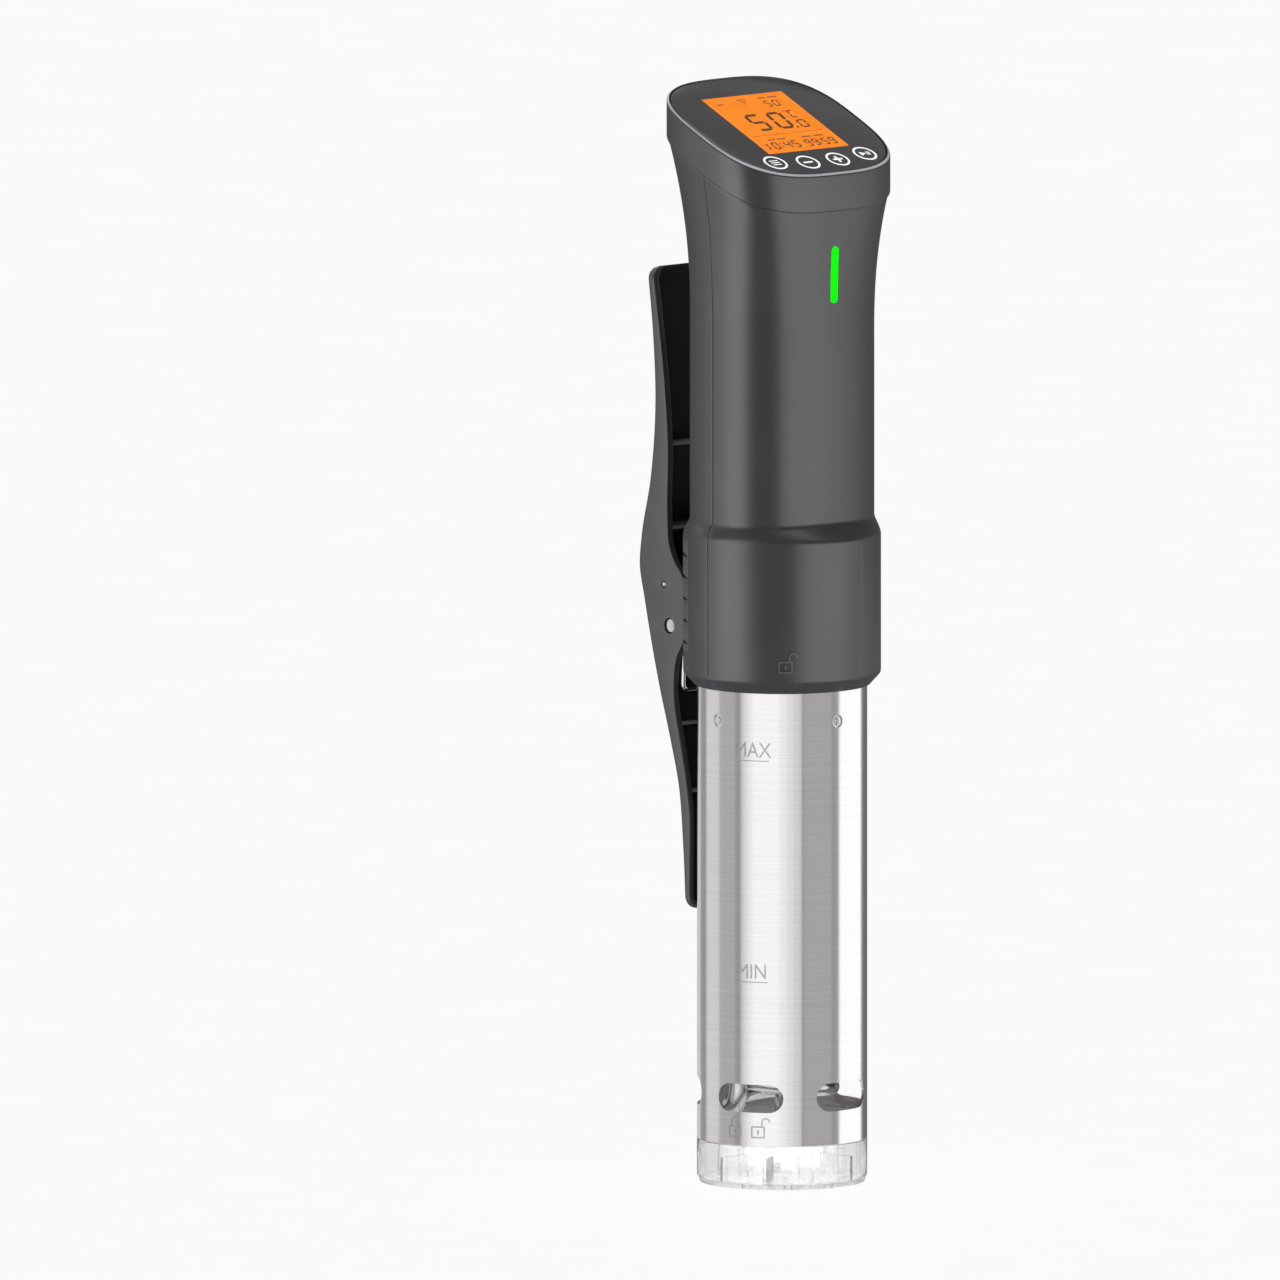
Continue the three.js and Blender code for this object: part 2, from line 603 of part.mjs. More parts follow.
// The rack band and the two ears that carry the pivot pin.
function makeClipMount() {
  const teeth = Array.from({ length: 5 }, (_, i) => {
    const z = TOOTH_FIRST + TOOTH_PITCH * i;
    return ring(HOUSING_R + 0.1, HOUSING_R + 5, [z - 0.45, z + 0.45]);
  });
  const front = block([-50, 50], [-50, RACK_Y], [100, 400]);
  const band = cut(ring(HOUSING_R - 0.2, HOUSING_R + 0.55, RACK_Z), front, ...teeth);
  const pad = cut(block([-9, 9], [20, 36.4], [186.5, 217]), bar(HOUSING_R - 0.2, [180, 225], 0, 0, SIDES));
  const ears = bothSides((side) => {
    const x = [side * 5.6, side * 9].sort((p, q) => p - q);
    const root = block(x, [34, PIVOT_Y], [PIVOT_Z - 1.2, PIVOT_Z + 10]);
    return join(alongX(5.2, x, PIVOT_Y, PIVOT_Z, 24), root);
  });
  const reliefs = cheekReliefs([20, 45], [180, 209]);
  const screwHoles = CLIP_SCREW_Z.flatMap((z) => [
    alongY(1.4 + GAP, [20, 45], 0, z, 12),
    alongY(2.6 + GAP, [34.6, 45], 0, z, 14),
  ]);
  const pinHole = alongX(PIN_R + GAP, [-20, 20], PIVOT_Y, PIVOT_Z, 24);
  const mount = cut(join(band, pad, ...ears), ...reliefs, ...screwHoles, pinHole);
  piece("clip_mount", mount, 0x2b2b2d, 0.55);
  CLIP_SCREW_Z.forEach((z, i) => {
    const screw = join(alongY(2.6, [34.9, 36.6], 0, z, 14), alongY(1.4, [28, 35], 0, z, 12));
    piece(`clip_mount_screw_${i + 1}`, screw, 0xb5b7ba, 0.35, 1);
  });
  piece("pivot_pin", alongX(PIN_R, [-15.9, 15.9], PIVOT_Y, PIVOT_Z, 24), 0xd6d8da, 0.25, 1);
}

// The lever's side outline as (y, z), with its front and rear edges moved in y.
function leverOutline(frontShift = 0, rearShift = 0) {
  const front = (y, z) => new THREE.Vector2(y + frontShift, z);
  const rear = (y, z) => new THREE.Vector2(y + rearShift, z);
  const shape = new THREE.Shape();
  shape.moveTo(29.4 + frontShift, LEVER_LOW);
  shape.lineTo(29.2 + frontShift, 124);
  shape.splineThru([front(31, 135), front(34.2, 149), front(37.2, 162), front(37.4, 169), front(36, 177)]);
  shape.lineTo(31.9 + frontShift, 185);
  shape.lineTo(31.9 + frontShift, 205);
  shape.splineThru([front(36.6, 209.6), front(39.9, 216), front(40.6, 224)]);
  shape.splineThru([front(40.4, 250), front(42.3, 272), front(45.6, 294), front(47.9, 308.3)]);
  shape.quadraticCurveTo(48.6 + frontShift / 2, 310.2, 50 + rearShift / 2, 310);
  shape.quadraticCurveTo(51.6 + rearShift, 309.6, 51.2 + rearShift, 306.5);
  shape.splineThru([rear(48.6, 286), rear(47.5, 264), rear(50.1, 237), rear(54.7, 217), rear(55.7, 208)]);
  shape.splineThru([rear(53.1, 196), rear(45.8, 168), rear(39.4, 148), rear(35.7, 135), rear(33, 112)]);
  shape.lineTo(31.9 + rearShift, 92.6);
  shape.lineTo(31.5 + rearShift, LEVER_LOW);
  return shape;
}

// Seen from the rear the lever is a long plate with rounded corners.
function leverFace() {
  const [low, high, r] = [LEVER_LOW, LEVER_TOP, LEVER_CORNER];
  const half = CHEEK_OUT - r;
  const shape = new THREE.Shape();
  shape.absarc(half, high - r, r, 0, Math.PI / 2);
  shape.absarc(-half, high - r, r, Math.PI / 2, Math.PI);
  shape.absarc(-half, low + r, r, Math.PI, 1.5 * Math.PI);
  shape.absarc(half, low + r, r, 1.5 * Math.PI, 2 * Math.PI);
  shape.closePath();
  return throughY(shape, [10, 70], 3);
}

function makeClipLever() {
  const width = (half) => [-half, half];
  const plate = common(throughX(leverOutline(), width(CHEEK_OUT), 4), leverFace());
  const channel = common(
    throughX(leverOutline(-30, -LEVER_FLOOR), width(CHEEK_IN), 4),
    block([-20, 20], [-20, 70], LEVER_HOLLOW),
  );
  const web = throughX(leverOutline(1.2, -0.6), width(CHEEK_IN + 0.5), 4);
  const ribs = LEVER_RIBS.map((z) =>
    common(web, block([-20, 20], [10, 70], [z - 0.6, z + 0.6])),
  );
  const lever = cut(
    join(cut(plate, channel), ...ribs),
    alongX(PIN_R + GAP, [-20, 20], PIVOT_Y, PIVOT_Z, 24),
    alongX(HOOK_R, [-20, 20], HOOK[0], HOOK[1], 12),
  );
  piece("clip_lever", lever, 0x2f2f31, 0.5);
}

const roundPin = (x, degrees) => {
  const angle = THREE.MathUtils.degToRad(degrees);
  return [x, PIVOT_Y + COIL_R * Math.cos(angle), PIVOT_Z + COIL_R * Math.sin(angle)];
};

// One wire: coil, bail down, across and up, coil.
function springPath() {
  const start = LEG_TAKEOFF - 360 + 9;
  const half = [];
  for (let i = 0; i <= 14; i++) {
    const t = i / 14;
    half.push(roundPin(LEG_X + (BAIL_X - LEG_X) * t, start + (180 - start) * t));
  }
  half.push([BAIL_X, 36.2, 180]);
  half.push([BAIL_X, 36.9, 169]);
  half.push([BAIL_X - 0.7, 37.1, 166.4]);
  half.push([BAIL_X - 3, 37.15, 165.8]);
  const mirrored = half.map(([x, y, z]) => [-x, y, z]).reverse();
  return [...half, ...mirrored];
}

function makeClipSpring() {
  piece("clip_spring", wire(springPath(), WIRE_R, 64, 5), 0xd0d2d4, 0.25, 1);
  bothSides((side) => {
    const [, y, z] = roundPin(0, LEG_TAKEOFF);
    const points = [
      [side * LEG_X, y, z],
      [side * LEG_X, y + (HOOK[0] - y) * 0.6, z + (HOOK[1] - z) * 0.6],
      [side * (LEG_X + 0.2), HOOK[0] - 0.5, HOOK[1] - 1],
      [side * (LEG_X + 1.2), HOOK[0], HOOK[1]],
      [side * 16.2, HOOK[0], HOOK[1]],
    ];
    const name = side < 0 ? "spring_leg_left" : "spring_leg_right";
    return piece(name, wire(points, WIRE_R, 10, 5), 0xd0d2d4, 0.25, 1);
  });
}

makeHead();
makeShells();
makeCordGland();
makeElectronics();
makeMotor();
makeImpeller();
makeHeater();
makeSupportPlate();
makeCollar();
makeSleeve();
makeEndCap();
makeClipMount();
makeClipLever();
makeClipSpring();

export default circulator;
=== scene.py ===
"""Looks for the sous vide circulator: smooth shells, brushed steel, clear cap, screen and clip."""
import json
import math

import bmesh
import bpy
import numpy as np
from mathutils import Matrix, Vector


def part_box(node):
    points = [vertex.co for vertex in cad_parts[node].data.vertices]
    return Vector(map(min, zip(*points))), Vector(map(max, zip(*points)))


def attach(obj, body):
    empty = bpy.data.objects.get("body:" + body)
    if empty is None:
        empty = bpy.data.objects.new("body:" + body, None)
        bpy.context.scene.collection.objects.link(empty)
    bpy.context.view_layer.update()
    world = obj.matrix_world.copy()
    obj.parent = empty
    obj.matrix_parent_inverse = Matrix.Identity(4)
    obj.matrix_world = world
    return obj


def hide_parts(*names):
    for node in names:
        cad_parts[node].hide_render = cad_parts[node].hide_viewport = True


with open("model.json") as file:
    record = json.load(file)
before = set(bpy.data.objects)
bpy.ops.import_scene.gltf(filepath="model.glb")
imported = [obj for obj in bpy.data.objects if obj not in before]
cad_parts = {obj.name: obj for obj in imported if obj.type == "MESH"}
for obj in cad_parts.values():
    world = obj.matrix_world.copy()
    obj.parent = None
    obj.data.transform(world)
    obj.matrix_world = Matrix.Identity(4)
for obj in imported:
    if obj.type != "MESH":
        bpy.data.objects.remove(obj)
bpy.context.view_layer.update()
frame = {"nodes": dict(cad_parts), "record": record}

MM = 0.001


def low(node):
    """A CAD node's lowest corner, in millimetres."""
    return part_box(node)[0] / MM


def high(node):
    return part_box(node)[1] / MM


# Driving sizes, in millimetres, read from the frame
TUBE_R = high("steel_sleeve").x
TUBE_LOW = low("steel_sleeve").z
TUBE_HIGH = high("steel_sleeve").z
TUBE_IN = TUBE_R - 0.8
COLLAR_LOW = low("housing_collar").z
HOUSING_R = high("housing_collar").x
HOUSING_LOW = low("front_shell").z
CAP_HIGH = high("end_cap").z
PIVOT_Y, PIVOT_Z = (low("pivot_pin") + high("pivot_pin")).yz / 2
CHEEK_OUT = high("clip_lever").x
LEVER_LOW = low("clip_lever").z
LEVER_HIGH = high("clip_lever").z
LIGHT_LOW, LIGHT_HIGH = low("light_pipe").z, high("light_pipe").z
CORD_Z = (low("cord_gland").z + high("cord_gland").z) / 2

# Sizes that repeat the design
SHOULDER_LOW, SHOULDER_HIGH = 222.8, 227.6
WALL = 2.6
WAIST = (31.4, 27.15, 2.43)  # half width, half depth, squareness
HEAD = (35.7, 30.7, 3.0)
HEAD_Y = 1.9
FLARE_START, FLARE_POWER = 296, 2.2
HEAD_LOW, HEAD_TOP = 349, 361.96
SLANT = math.radians(23.4)
SLOPE = math.tan(SLANT)
SCREEN_Y = 3.6
SLOT_Z, SLOT_LENGTH, SLOT_HEIGHT, SLOT_BEARING, SLOTS = 31.3, 24, 9.6, 7.4, 5
LUG_Z, LUGS = 160.2, 4
CAP_LUG_Z, CAP_LUG_BEARING, CAP_TWIST = 18.4, 20, 18.6
CHEEK_IN = CHEEK_OUT - 2.5
FLOOR = 1.8
ROUND = 200  # steps round a large piece


# ---- camera, light and floor -----------------------------------------------------------------

AZIMUTH, ELEVATION = math.radians(-41), math.radians(7.2)
VIEW_WIDTH, VIEW_UP, VIEW_LEFT = 0.436, 0.1839, 0.0484  # metres
RIGHT = Vector((math.cos(AZIMUTH), math.sin(AZIMUTH), 0))
LEVEL = math.cos(ELEVATION)
BACK = Vector((math.sin(AZIMUTH) * LEVEL, -math.cos(AZIMUTH) * LEVEL, math.sin(ELEVATION)))
UP = BACK.cross(RIGHT)


def make_camera():
    data = bpy.data.cameras.new("camera")
    data.type = "ORTHO"
    data.ortho_scale = VIEW_WIDTH
    data.clip_end = 30
    camera = bpy.data.objects.new("camera", data)
    bpy.context.scene.collection.objects.link(camera)
    aim = UP * VIEW_UP - RIGHT * VIEW_LEFT
    turn = Matrix((RIGHT, UP, BACK)).transposed().to_4x4()
    camera.matrix_world = Matrix.Translation(aim + BACK * 2) @ turn
    bpy.context.scene.camera = camera
    bpy.context.scene.view_settings.view_transform = "Standard"


def area_light(name, receivers, span, radiance, height=(-0.6, 1.0), distance=0.9):
    """A soft box that fills a span of bearings, in degrees to the right of the camera."""
    start, end = (math.radians(b) for b in span)
    data = bpy.data.lights.new(name, "AREA")
    data.shape = "RECTANGLE"
    data.size = 2 * distance * math.tan((end - start) / 2)
    data.size_y = height[1] - height[0]
    data.energy = radiance * math.pi * data.size * data.size_y
    light = bpy.data.objects.new(name, data)
    bpy.context.scene.collection.objects.link(light)
    angle = AZIMUTH + (start + end) / 2
    place = Vector((math.sin(angle) * distance, -math.cos(angle) * distance, sum(height) / 2))
    light.location = place
    light.rotation_euler = Vector((-place.x, -place.y, 0)).to_track_quat("-Z", "Y").to_euler()
    light.light_linking.receiver_collection = receivers
    return light


def make_world():
    world = bpy.data.worlds.new("studio")
    bpy.context.scene.world = world
    world.use_nodes = True
    nodes, links = world.node_tree.nodes, world.node_tree.links
    background = nodes["Background"]
    path = nodes.new("ShaderNodeLightPath")
    seen = nodes.new("ShaderNodeMath")
    seen.operation = "MAXIMUM"
    links.new(path.outputs["Is Camera Ray"], seen.inputs[0])
    links.new(path.outputs["Is Transmission Ray"], seen.inputs[1])
    level = nodes.new("ShaderNodeMapRange")
    level.inputs["To Min"].default_value = 0.16
    level.inputs["To Max"].default_value = 1.0
    links.new(seen.outputs[0], level.inputs["Value"])
    links.new(level.outputs[0], background.inputs["Strength"])
    background.inputs["Color"].default_value = (1, 1, 1, 1)


def group(name):
    made = bpy.data.collections.new(name)
    bpy.context.scene.collection.children.link(made)
    return made


STEEL_GROUP = group("steel_pieces")
PLASTIC_GROUP = group("other_pieces")
CLEAR_GROUP = group("clear_pieces")


WALL_HEIGHT, WALL_DISTANCE = (-0.9, 1.3), 1.2


def make_lights():
    """Each light is meant for one group of pieces: the plastics, the steel or the clear cap."""
    tall = (-0.6, 0.5)
    for name, span, radiance in (
        ("left", (-80, -41), 1.85),
        ("left_side", (-104, -80), 0.8),
        ("left_back", (-130, -104), 0.23),
        ("right", (20, 80), 1.4),
        ("right_side", (80, 104), 0.7),
        ("right_back", (104, 130), 0.2),
    ):
        area_light(f"plastic_{name}", PLASTIC_GROUP, span, radiance, tall)
    area_light("plastic_rear", PLASTIC_GROUP, (180, 250), 0.9, (0.5, 1.2))
    overhead = area_light("plastic_overhead", PLASTIC_GROUP, (-30, 30), 2.0, (1.1, 1.7), 0.52)
    overhead.location = (0, 0, 1.1)
    overhead.rotation_euler = (0, 0, 0)
    for name, span, radiance in (
        ("left", (-124, -94), 0.42),
        ("left_dim", (-94, -66), 0.15),
        ("front", (-57, 26), 0.46),
        ("front_wide", (-51, 15), 0.13),
        ("front_narrow", (-46, 6), 0.13),
        ("front_middle", (-40, -4), 0.13),
        ("right_dim", (30, 70), 0.12),
        ("right_middle", (38, 62), 0.08),
        ("right", (83, 134), 0.95),
        ("rear", (182, 216), 0.3),
    ):
        area_light(f"steel_{name}", STEEL_GROUP, span, radiance)
    for i, span in enumerate(((-178, -90), (-90, 0), (0, 72), (72, 142))):
        area_light(f"steel_wall_{i}", STEEL_GROUP, span, 0.2, WALL_HEIGHT, WALL_DISTANCE)
    for i in range(4):
        span = (90 * i + 20, 90 * i + 80)
        area_light(f"clear_wall_{i}", CLEAR_GROUP, span, 0.4, (0.1, WALL_HEIGHT[1]), WALL_DISTANCE)


def make_floor():
    bpy.ops.mesh.primitive_plane_add(size=16)
    floor = bpy.context.object
    floor.name = "floor"
    material, shader, nodes, links = new_material("floor", (0.3, 0.3, 0.3), 0.8)
    shader.inputs["Emission Color"].default_value = (1, 1, 1, 1)
    shader.inputs["Emission Strength"].default_value = 0.9
    grain = noise(nodes, links, 30, 4)
    tone(nodes, links, shader, grain, (0.28, 0.28, 0.28), (0.32, 0.32, 0.32))
    floor.data.materials.append(material)
    floor.visible_glossy = False
    floor.visible_shadow = False


# ---- materials -------------------------------------------------------------------------------


def new_material(name, color, rough, metallic=0.0):
    material = bpy.data.materials.new(name)
    material.use_nodes = True
    nodes, links = material.node_tree.nodes, material.node_tree.links
    shader = nodes["Principled BSDF"]
    shader.inputs["Base Color"].default_value = (*color, 1)
    shader.inputs["Roughness"].default_value = rough
    shader.inputs["Metallic"].default_value = metallic
    return material, shader, nodes, links


def noise(nodes, links, scale, detail=2, stretch=(1, 1, 1)):
    """Noise in the piece's own coordinates, in metres, stretched along its axes."""
    where = nodes.new("ShaderNodeTexCoord")
    mapping = nodes.new("ShaderNodeMapping")
    mapping.inputs["Scale"].default_value = stretch
    texture = nodes.new("ShaderNodeTexNoise")
    texture.inputs["Scale"].default_value = scale
    texture.inputs["Detail"].default_value = detail
    links.new(where.outputs["Object"], mapping.inputs["Vector"])
    links.new(mapping.outputs["Vector"], texture.inputs["Vector"])
    return texture.outputs["Fac"]


MIX_FIRST, MIX_SECOND, MIX_RESULT = 6, 7, 2  # a colour mix's sockets


def ramp(nodes, links, value, first, second, span=(0.3, 0.7)):
    made = nodes.new("ShaderNodeMapRange")
    made.inputs["From Min"].default_value, made.inputs["From Max"].default_value = span
    made.inputs["To Min"].default_value = first
    made.inputs["To Max"].default_value = second
    links.new(value, made.inputs["Value"])
    return made.outputs[0]


def tone(nodes, links, shader, value, dark, light, span=(0.3, 0.7)):
    """Colour that wanders between two tones."""
    mix = nodes.new("ShaderNodeMix")
    mix.data_type = "RGBA"
    mix.inputs[MIX_FIRST].default_value = (*dark, 1)
    mix.inputs[MIX_SECOND].default_value = (*light, 1)
    links.new(ramp(nodes, links, value, 0, 1, span), mix.inputs[0])
    links.new(mix.outputs[MIX_RESULT], shader.inputs["Base Color"])
    return mix


def bump(nodes, links, shader, value, strength, distance):
    made = nodes.new("ShaderNodeBump")
    made.inputs["Strength"].default_value = strength
    made.inputs["Distance"].default_value = distance
    links.new(value, made.inputs["Height"])
    links.new(made.outputs["Normal"], shader.inputs["Normal"])


def worn_edges(nodes, links, shader, mix, light, amount):
    """Edges rubbed a little lighter than the faces beside them."""
    geometry = nodes.new("ShaderNodeNewGeometry")
    edge = ramp(nodes, links, geometry.outputs["Pointiness"], 0, amount, (0.52, 0.62))
    over = nodes.new("ShaderNodeMix")
    over.data_type = "RGBA"
    over.inputs[MIX_SECOND].default_value = (*light, 1)
    links.new(edge, over.inputs[0])
    links.new(mix.outputs[MIX_RESULT], over.inputs[MIX_FIRST])
    links.new(over.outputs[MIX_RESULT], shader.inputs["Base Color"])


def plastic(name, color, rough, spread=0.12, grain=2600, relief=0.12, wear=0.35, gloss=1.0, lit=0):
    """Moulded plastic: a fine grain, soft changes of tone and gloss, rubbed edges."""
    material, shader, nodes, links = new_material(name, color, rough)
    shader.inputs["Specular IOR Level"].default_value = gloss
    shader.inputs["Emission Color"].default_value = (*color, 1)
    shader.inputs["Emission Strength"].default_value = lit
    cloud = noise(nodes, links, 38, 3)
    dark = [c * (1 - spread) for c in color]
    light = [c * (1 + spread) for c in color]
    mix = tone(nodes, links, shader, cloud, dark, light)
    worn_edges(nodes, links, shader, mix, [min(1, c * 2.2 + 0.02) for c in color], wear)
    fine = noise(nodes, links, grain, 2)
    links.new(ramp(nodes, links, fine, rough * 0.88, rough * 1.12), shader.inputs["Roughness"])
    bump(nodes, links, shader, fine, relief, 0.00005)
    return material


def steel(name, color, rough, stretch=(14, 14, 3000), anisotropic=0.0, streak=0.1, relief=0.02):
    """Drawn or brushed steel: hair lines along the way it was worked."""
    material, shader, nodes, links = new_material(name, color, rough, 1.0)
    lines = noise(nodes, links, 1, 3, stretch)
    dark = [c * (1 - streak) for c in color]
    light = [min(1, c * (1 + streak)) for c in color]
    tone(nodes, links, shader, lines, dark, light, (0.35, 0.65))
    cloud = noise(nodes, links, 1.0, 3, (stretch[0] * 3, stretch[1] * 3, stretch[2] * 0.02))
    links.new(ramp(nodes, links, cloud, rough * 0.92, rough * 1.1), shader.inputs["Roughness"])
    bump(nodes, links, shader, lines, relief, 0.00002)
    if anisotropic:
        shader.inputs["Anisotropic"].default_value = anisotropic
        shader.inputs["Anisotropic Rotation"].default_value = 0.25
        tangent = nodes.new("ShaderNodeTangent")
        tangent.direction_type = "RADIAL"
        tangent.axis = "Z"
        links.new(tangent.outputs["Tangent"], shader.inputs["Tangent"])
    return material


def glow(name, color, strength, rough, coat):
    """A lit plastic: its light wanders slightly, as through a diffuser."""
    material, shader, nodes, links = new_material(name, color, rough)
    shader.inputs["Emission Color"].default_value = (*color, 1)
    shader.inputs["Base Color"].default_value = (*[c * 0.2 for c in color], 1)
    shader.inputs["Specular IOR Level"].default_value = 0.08
    shader.inputs["Coat Weight"].default_value = coat
    cloud = noise(nodes, links, 160, 2)
    level = ramp(nodes, links, cloud, strength * 0.93, strength * 1.07)
    links.new(level, shader.inputs["Emission Strength"])
    fine = noise(nodes, links, 3000, 2)
    bump(nodes, links, shader, fine, 0.05, 0.00003)
    return material


def clear_plastic(name, color, rough, alpha):
    """Moulded clear plastic; alpha is how much of it is seen at all."""
    material, shader, nodes, links = new_material(name, color, rough)
    shader.inputs["Transmission Weight"].default_value = 1.0
    shader.inputs["IOR"].default_value = 1.4
    shader.inputs["Alpha"].default_value = alpha
    cloud = noise(nodes, links, 90, 3)
    links.new(ramp(nodes, links, cloud, rough * 0.5, rough * 1.5), shader.inputs["Roughness"])
    tone(nodes, links, shader, cloud, [c * 0.985 for c in color], [min(1, c * 1.015) for c in color])
    bump(nodes, links, shader, cloud, 0.02, 0.00005)
    return material


def make_materials():
    """Every material by name: plastics, metals, lit plastics, clear plastics."""
    made = {}
    for name, color, rough, *more in (
        ("housing", (0.026, 0.026, 0.0275), 0.36),
        ("head_ring", (0.029, 0.029, 0.031), 0.34),
        # rim: light grey, a painted highlight for the head collar's top edge
        ("rim", (0.55, 0.55, 0.56), 0.3),
        # raised_sign: lighter than the housing, a painted highlight on the raised padlock
        ("raised_sign", (0.06, 0.06, 0.062), 0.3),
        ("dark_collar", (0.025, 0.025, 0.027), 0.4),
        ("lens", (0.09, 0.09, 0.094), 0.12, dict(relief=0.01, wear=0.1)),
        ("clip_plastic", (0.04, 0.04, 0.042), 0.42, dict(relief=0.25, grain=1800)),
        # channel: near black, painted shade for the inside of the lever's channel
        ("channel", (0.007, 0.007, 0.008), 0.7, dict(relief=0.25, grain=1800, wear=0.2, gloss=0.4)),
        ("inner_plastic", (0.05, 0.05, 0.053), 0.5),
        # white_plastic glows a little (lit): painted light that keeps the shaded pump wheel white
        ("white_plastic", (0.82, 0.82, 0.8), 0.4, dict(spread=0.04, lit=0.4)),
        ("rubber_parts", (0.035, 0.035, 0.035), 0.75, dict(relief=0.3, grain=1500)),
        ("component", (0.04, 0.05, 0.08), 0.45),
        ("circuit_board", (0.02, 0.12, 0.05), 0.45, dict(spread=0.3)),
        ("print", (0.85, 0.85, 0.86), 0.45, dict(spread=0.05, wear=0, lit=0.65)),
        ("segments", (0.13, 0.06, 0.02), 0.35, dict(spread=0.1, wear=0)),
        ("fine_print", (0.5, 0.18, 0.035), 0.35, dict(spread=0.1, wear=0)),
        # The lever's cross ribs: lighter grey, a painted highlight
        ("rib_edge", (0.19, 0.19, 0.195), 0.4),
    ):
        made[name] = plastic(name, color, rough, **dict(*more))
    for name, color, rough, *more in (
        ("etched", (0.46, 0.455, 0.46), 0.42, dict(stretch=(900, 900, 900))),
        ("brushed_sleeve", (0.775, 0.752, 0.758), 0.19, dict(anisotropic=0.8, streak=0.03, relief=0.012)),
        # steel_inside: rougher than the sleeve, and darker as painted shade inside the tube
        ("steel_inside", (0.43, 0.42, 0.42), 0.4),
        # steel_tube: darker than the bright steel, painted shade for the heater inside the sleeve
        ("steel_tube", (0.6, 0.59, 0.59), 0.24, dict(stretch=(300, 300, 300), streak=0.03, relief=0.003)),
        ("steel_bright", (0.72, 0.72, 0.73), 0.16, dict(stretch=(900, 900, 900), streak=0.05)),
        ("aluminium_parts", (0.6, 0.61, 0.63), 0.35, dict(stretch=(400, 400, 3000))),
        ("brass_parts", (0.72, 0.5, 0.22), 0.3, dict(stretch=(600, 600, 600))),
    ):
        made[name] = steel(name, color, rough, **dict(*more))
    made["screen"] = glow("screen", (1.0, 0.26, 0.016), 0.92, 0.3, 0.25)
    made["light"] = glow("light", (0.0, 1.0, 0.0), 1.0, 0.7, 0.0)
    made["clear_cap"] = clear_plastic("clear_cap", (0.985, 0.987, 0.99), 0.01, 0.82)
    # clear_foot: rougher, as frosted, with a grey tint that is painted shade
    made["clear_foot"] = clear_plastic("clear_foot", (0.6, 0.605, 0.61), 0.25, 0.85)
    # Dark clear plastic for one rib's sides: painted shade
    made["clear_rib_painted_shade"] = clear_plastic("clear_rib_painted_shade", (0.25, 0.25, 0.255), 0.05, 0.95)
    return made


# ---- mesh tools ------------------------------------------------------------------------------

METALS = ("brushed_sleeve", "steel_bright", "steel_tube", "etched")


def group_of(slot):
    if slot == "clear_cap":
        return CLEAR_GROUP
    return STEEL_GROUP if slot in METALS else PLASTIC_GROUP


def add_piece(name, verts, faces, slots, face_slots=None, crease=35):
    """A mesh from points in millimetres. slots names its materials, face_slots picks one per face."""
    mesh = bpy.data.meshes.new(name)
    mesh.from_pydata([tuple(c * MM for c in v) for v in verts], [], faces)
    set_materials(mesh, slots)
    if face_slots:
        mesh.polygons.foreach_set("material_index", face_slots)
    mesh.update()
    tidy_normals(mesh)
    made = bpy.data.objects.new(name, mesh)
    group_of(slots[0]).objects.link(made)
    smooth(made, crease)
    return made


def set_materials(mesh, slots):
    mesh.materials.clear()
    for slot in slots:
        mesh.materials.append(MATERIALS[slot])


def tidy_normals(mesh):
    work = bmesh.new()
    work.from_mesh(mesh)
    bmesh.ops.remove_doubles(work, verts=work.verts, dist=1e-7)
    bmesh.ops.recalc_face_normals(work, faces=work.faces)
    work.to_mesh(mesh)
    work.free()


def smooth(made, crease=35):
    made.data.shade_smooth()
    made.data.set_sharp_from_angle(angle=math.radians(crease))


def bake_modifiers(made):
    bpy.context.view_layer.update()
    evaluated = made.evaluated_get(bpy.context.evaluated_depsgraph_get())
    mesh = bpy.data.meshes.new_from_object(evaluated)
    made.modifiers.clear()
    made.data = mesh


def combine(made, *tools, operation="DIFFERENCE"):
    """Cuts, joins or intersects a piece with other pieces, which are used up."""
    for tool in tools:
        modifier = made.modifiers.new("combine", "BOOLEAN")
        modifier.object = tool
        modifier.operation = operation
        modifier.solver = "EXACT"
        bake_modifiers(made)
        bpy.data.objects.remove(tool)
    smooth(made)
    return made


def soften(made, width, crease=40, segments=2):
    """Rounds a piece's sharp edges."""
    modifier = made.modifiers.new("soften", "BEVEL")
    modifier.width = width * MM
    modifier.segments = segments
    modifier.limit_method = "ANGLE"
    modifier.angle_limit = math.radians(crease)
    bake_modifiers(made)
    smooth(made)
    return made


def finish_piece(made, body, slot, *replaced):
    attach(made, body)
    if replaced:
        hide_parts(*replaced)
    return made


def grid_faces(rows, columns, wrap_rows=False):
    """Faces of a grid of points that closes on itself across its columns."""
    faces = []
    for i in range(rows if wrap_rows else rows - 1):
        a, b = i * columns, (i + 1) % rows * columns
        for j in range(columns):
            k = (j + 1) % columns
            faces.append((a + j, a + k, b + k, b + j))
    return faces


def loft(rings, wrapped=False):
    """Joins closed rings of points into a skin with flat ends, or with the last joined to the first."""
    rows, columns = len(rings), len(rings[0])
    faces = grid_faces(rows, columns, wrapped)
    if not wrapped:
        faces.append(tuple(reversed(range(columns))))
        faces.append(tuple(range((rows - 1) * columns, rows * columns)))
    return [p for ring in rings for p in ring], faces


def circle(x, y, r, steps=72):
    turns = (2 * math.pi * i / steps for i in range(steps))
    return [(x + r * math.cos(a), y + r * math.sin(a)) for a in turns]


def rectangle(u, v):
    return [(u[0], v[0]), (u[1], v[0]), (u[1], v[1]), (u[0], v[1])]


def lathe(profile, steps=ROUND, capped=False):
    """Turns a profile of (radius, height) points round Z; it closes on itself unless capped."""
    rings = [[(x, y, z) for x, y in circle(0, 0, r, steps)] for r, z in profile]
    return loft(rings, wrapped=not capped)


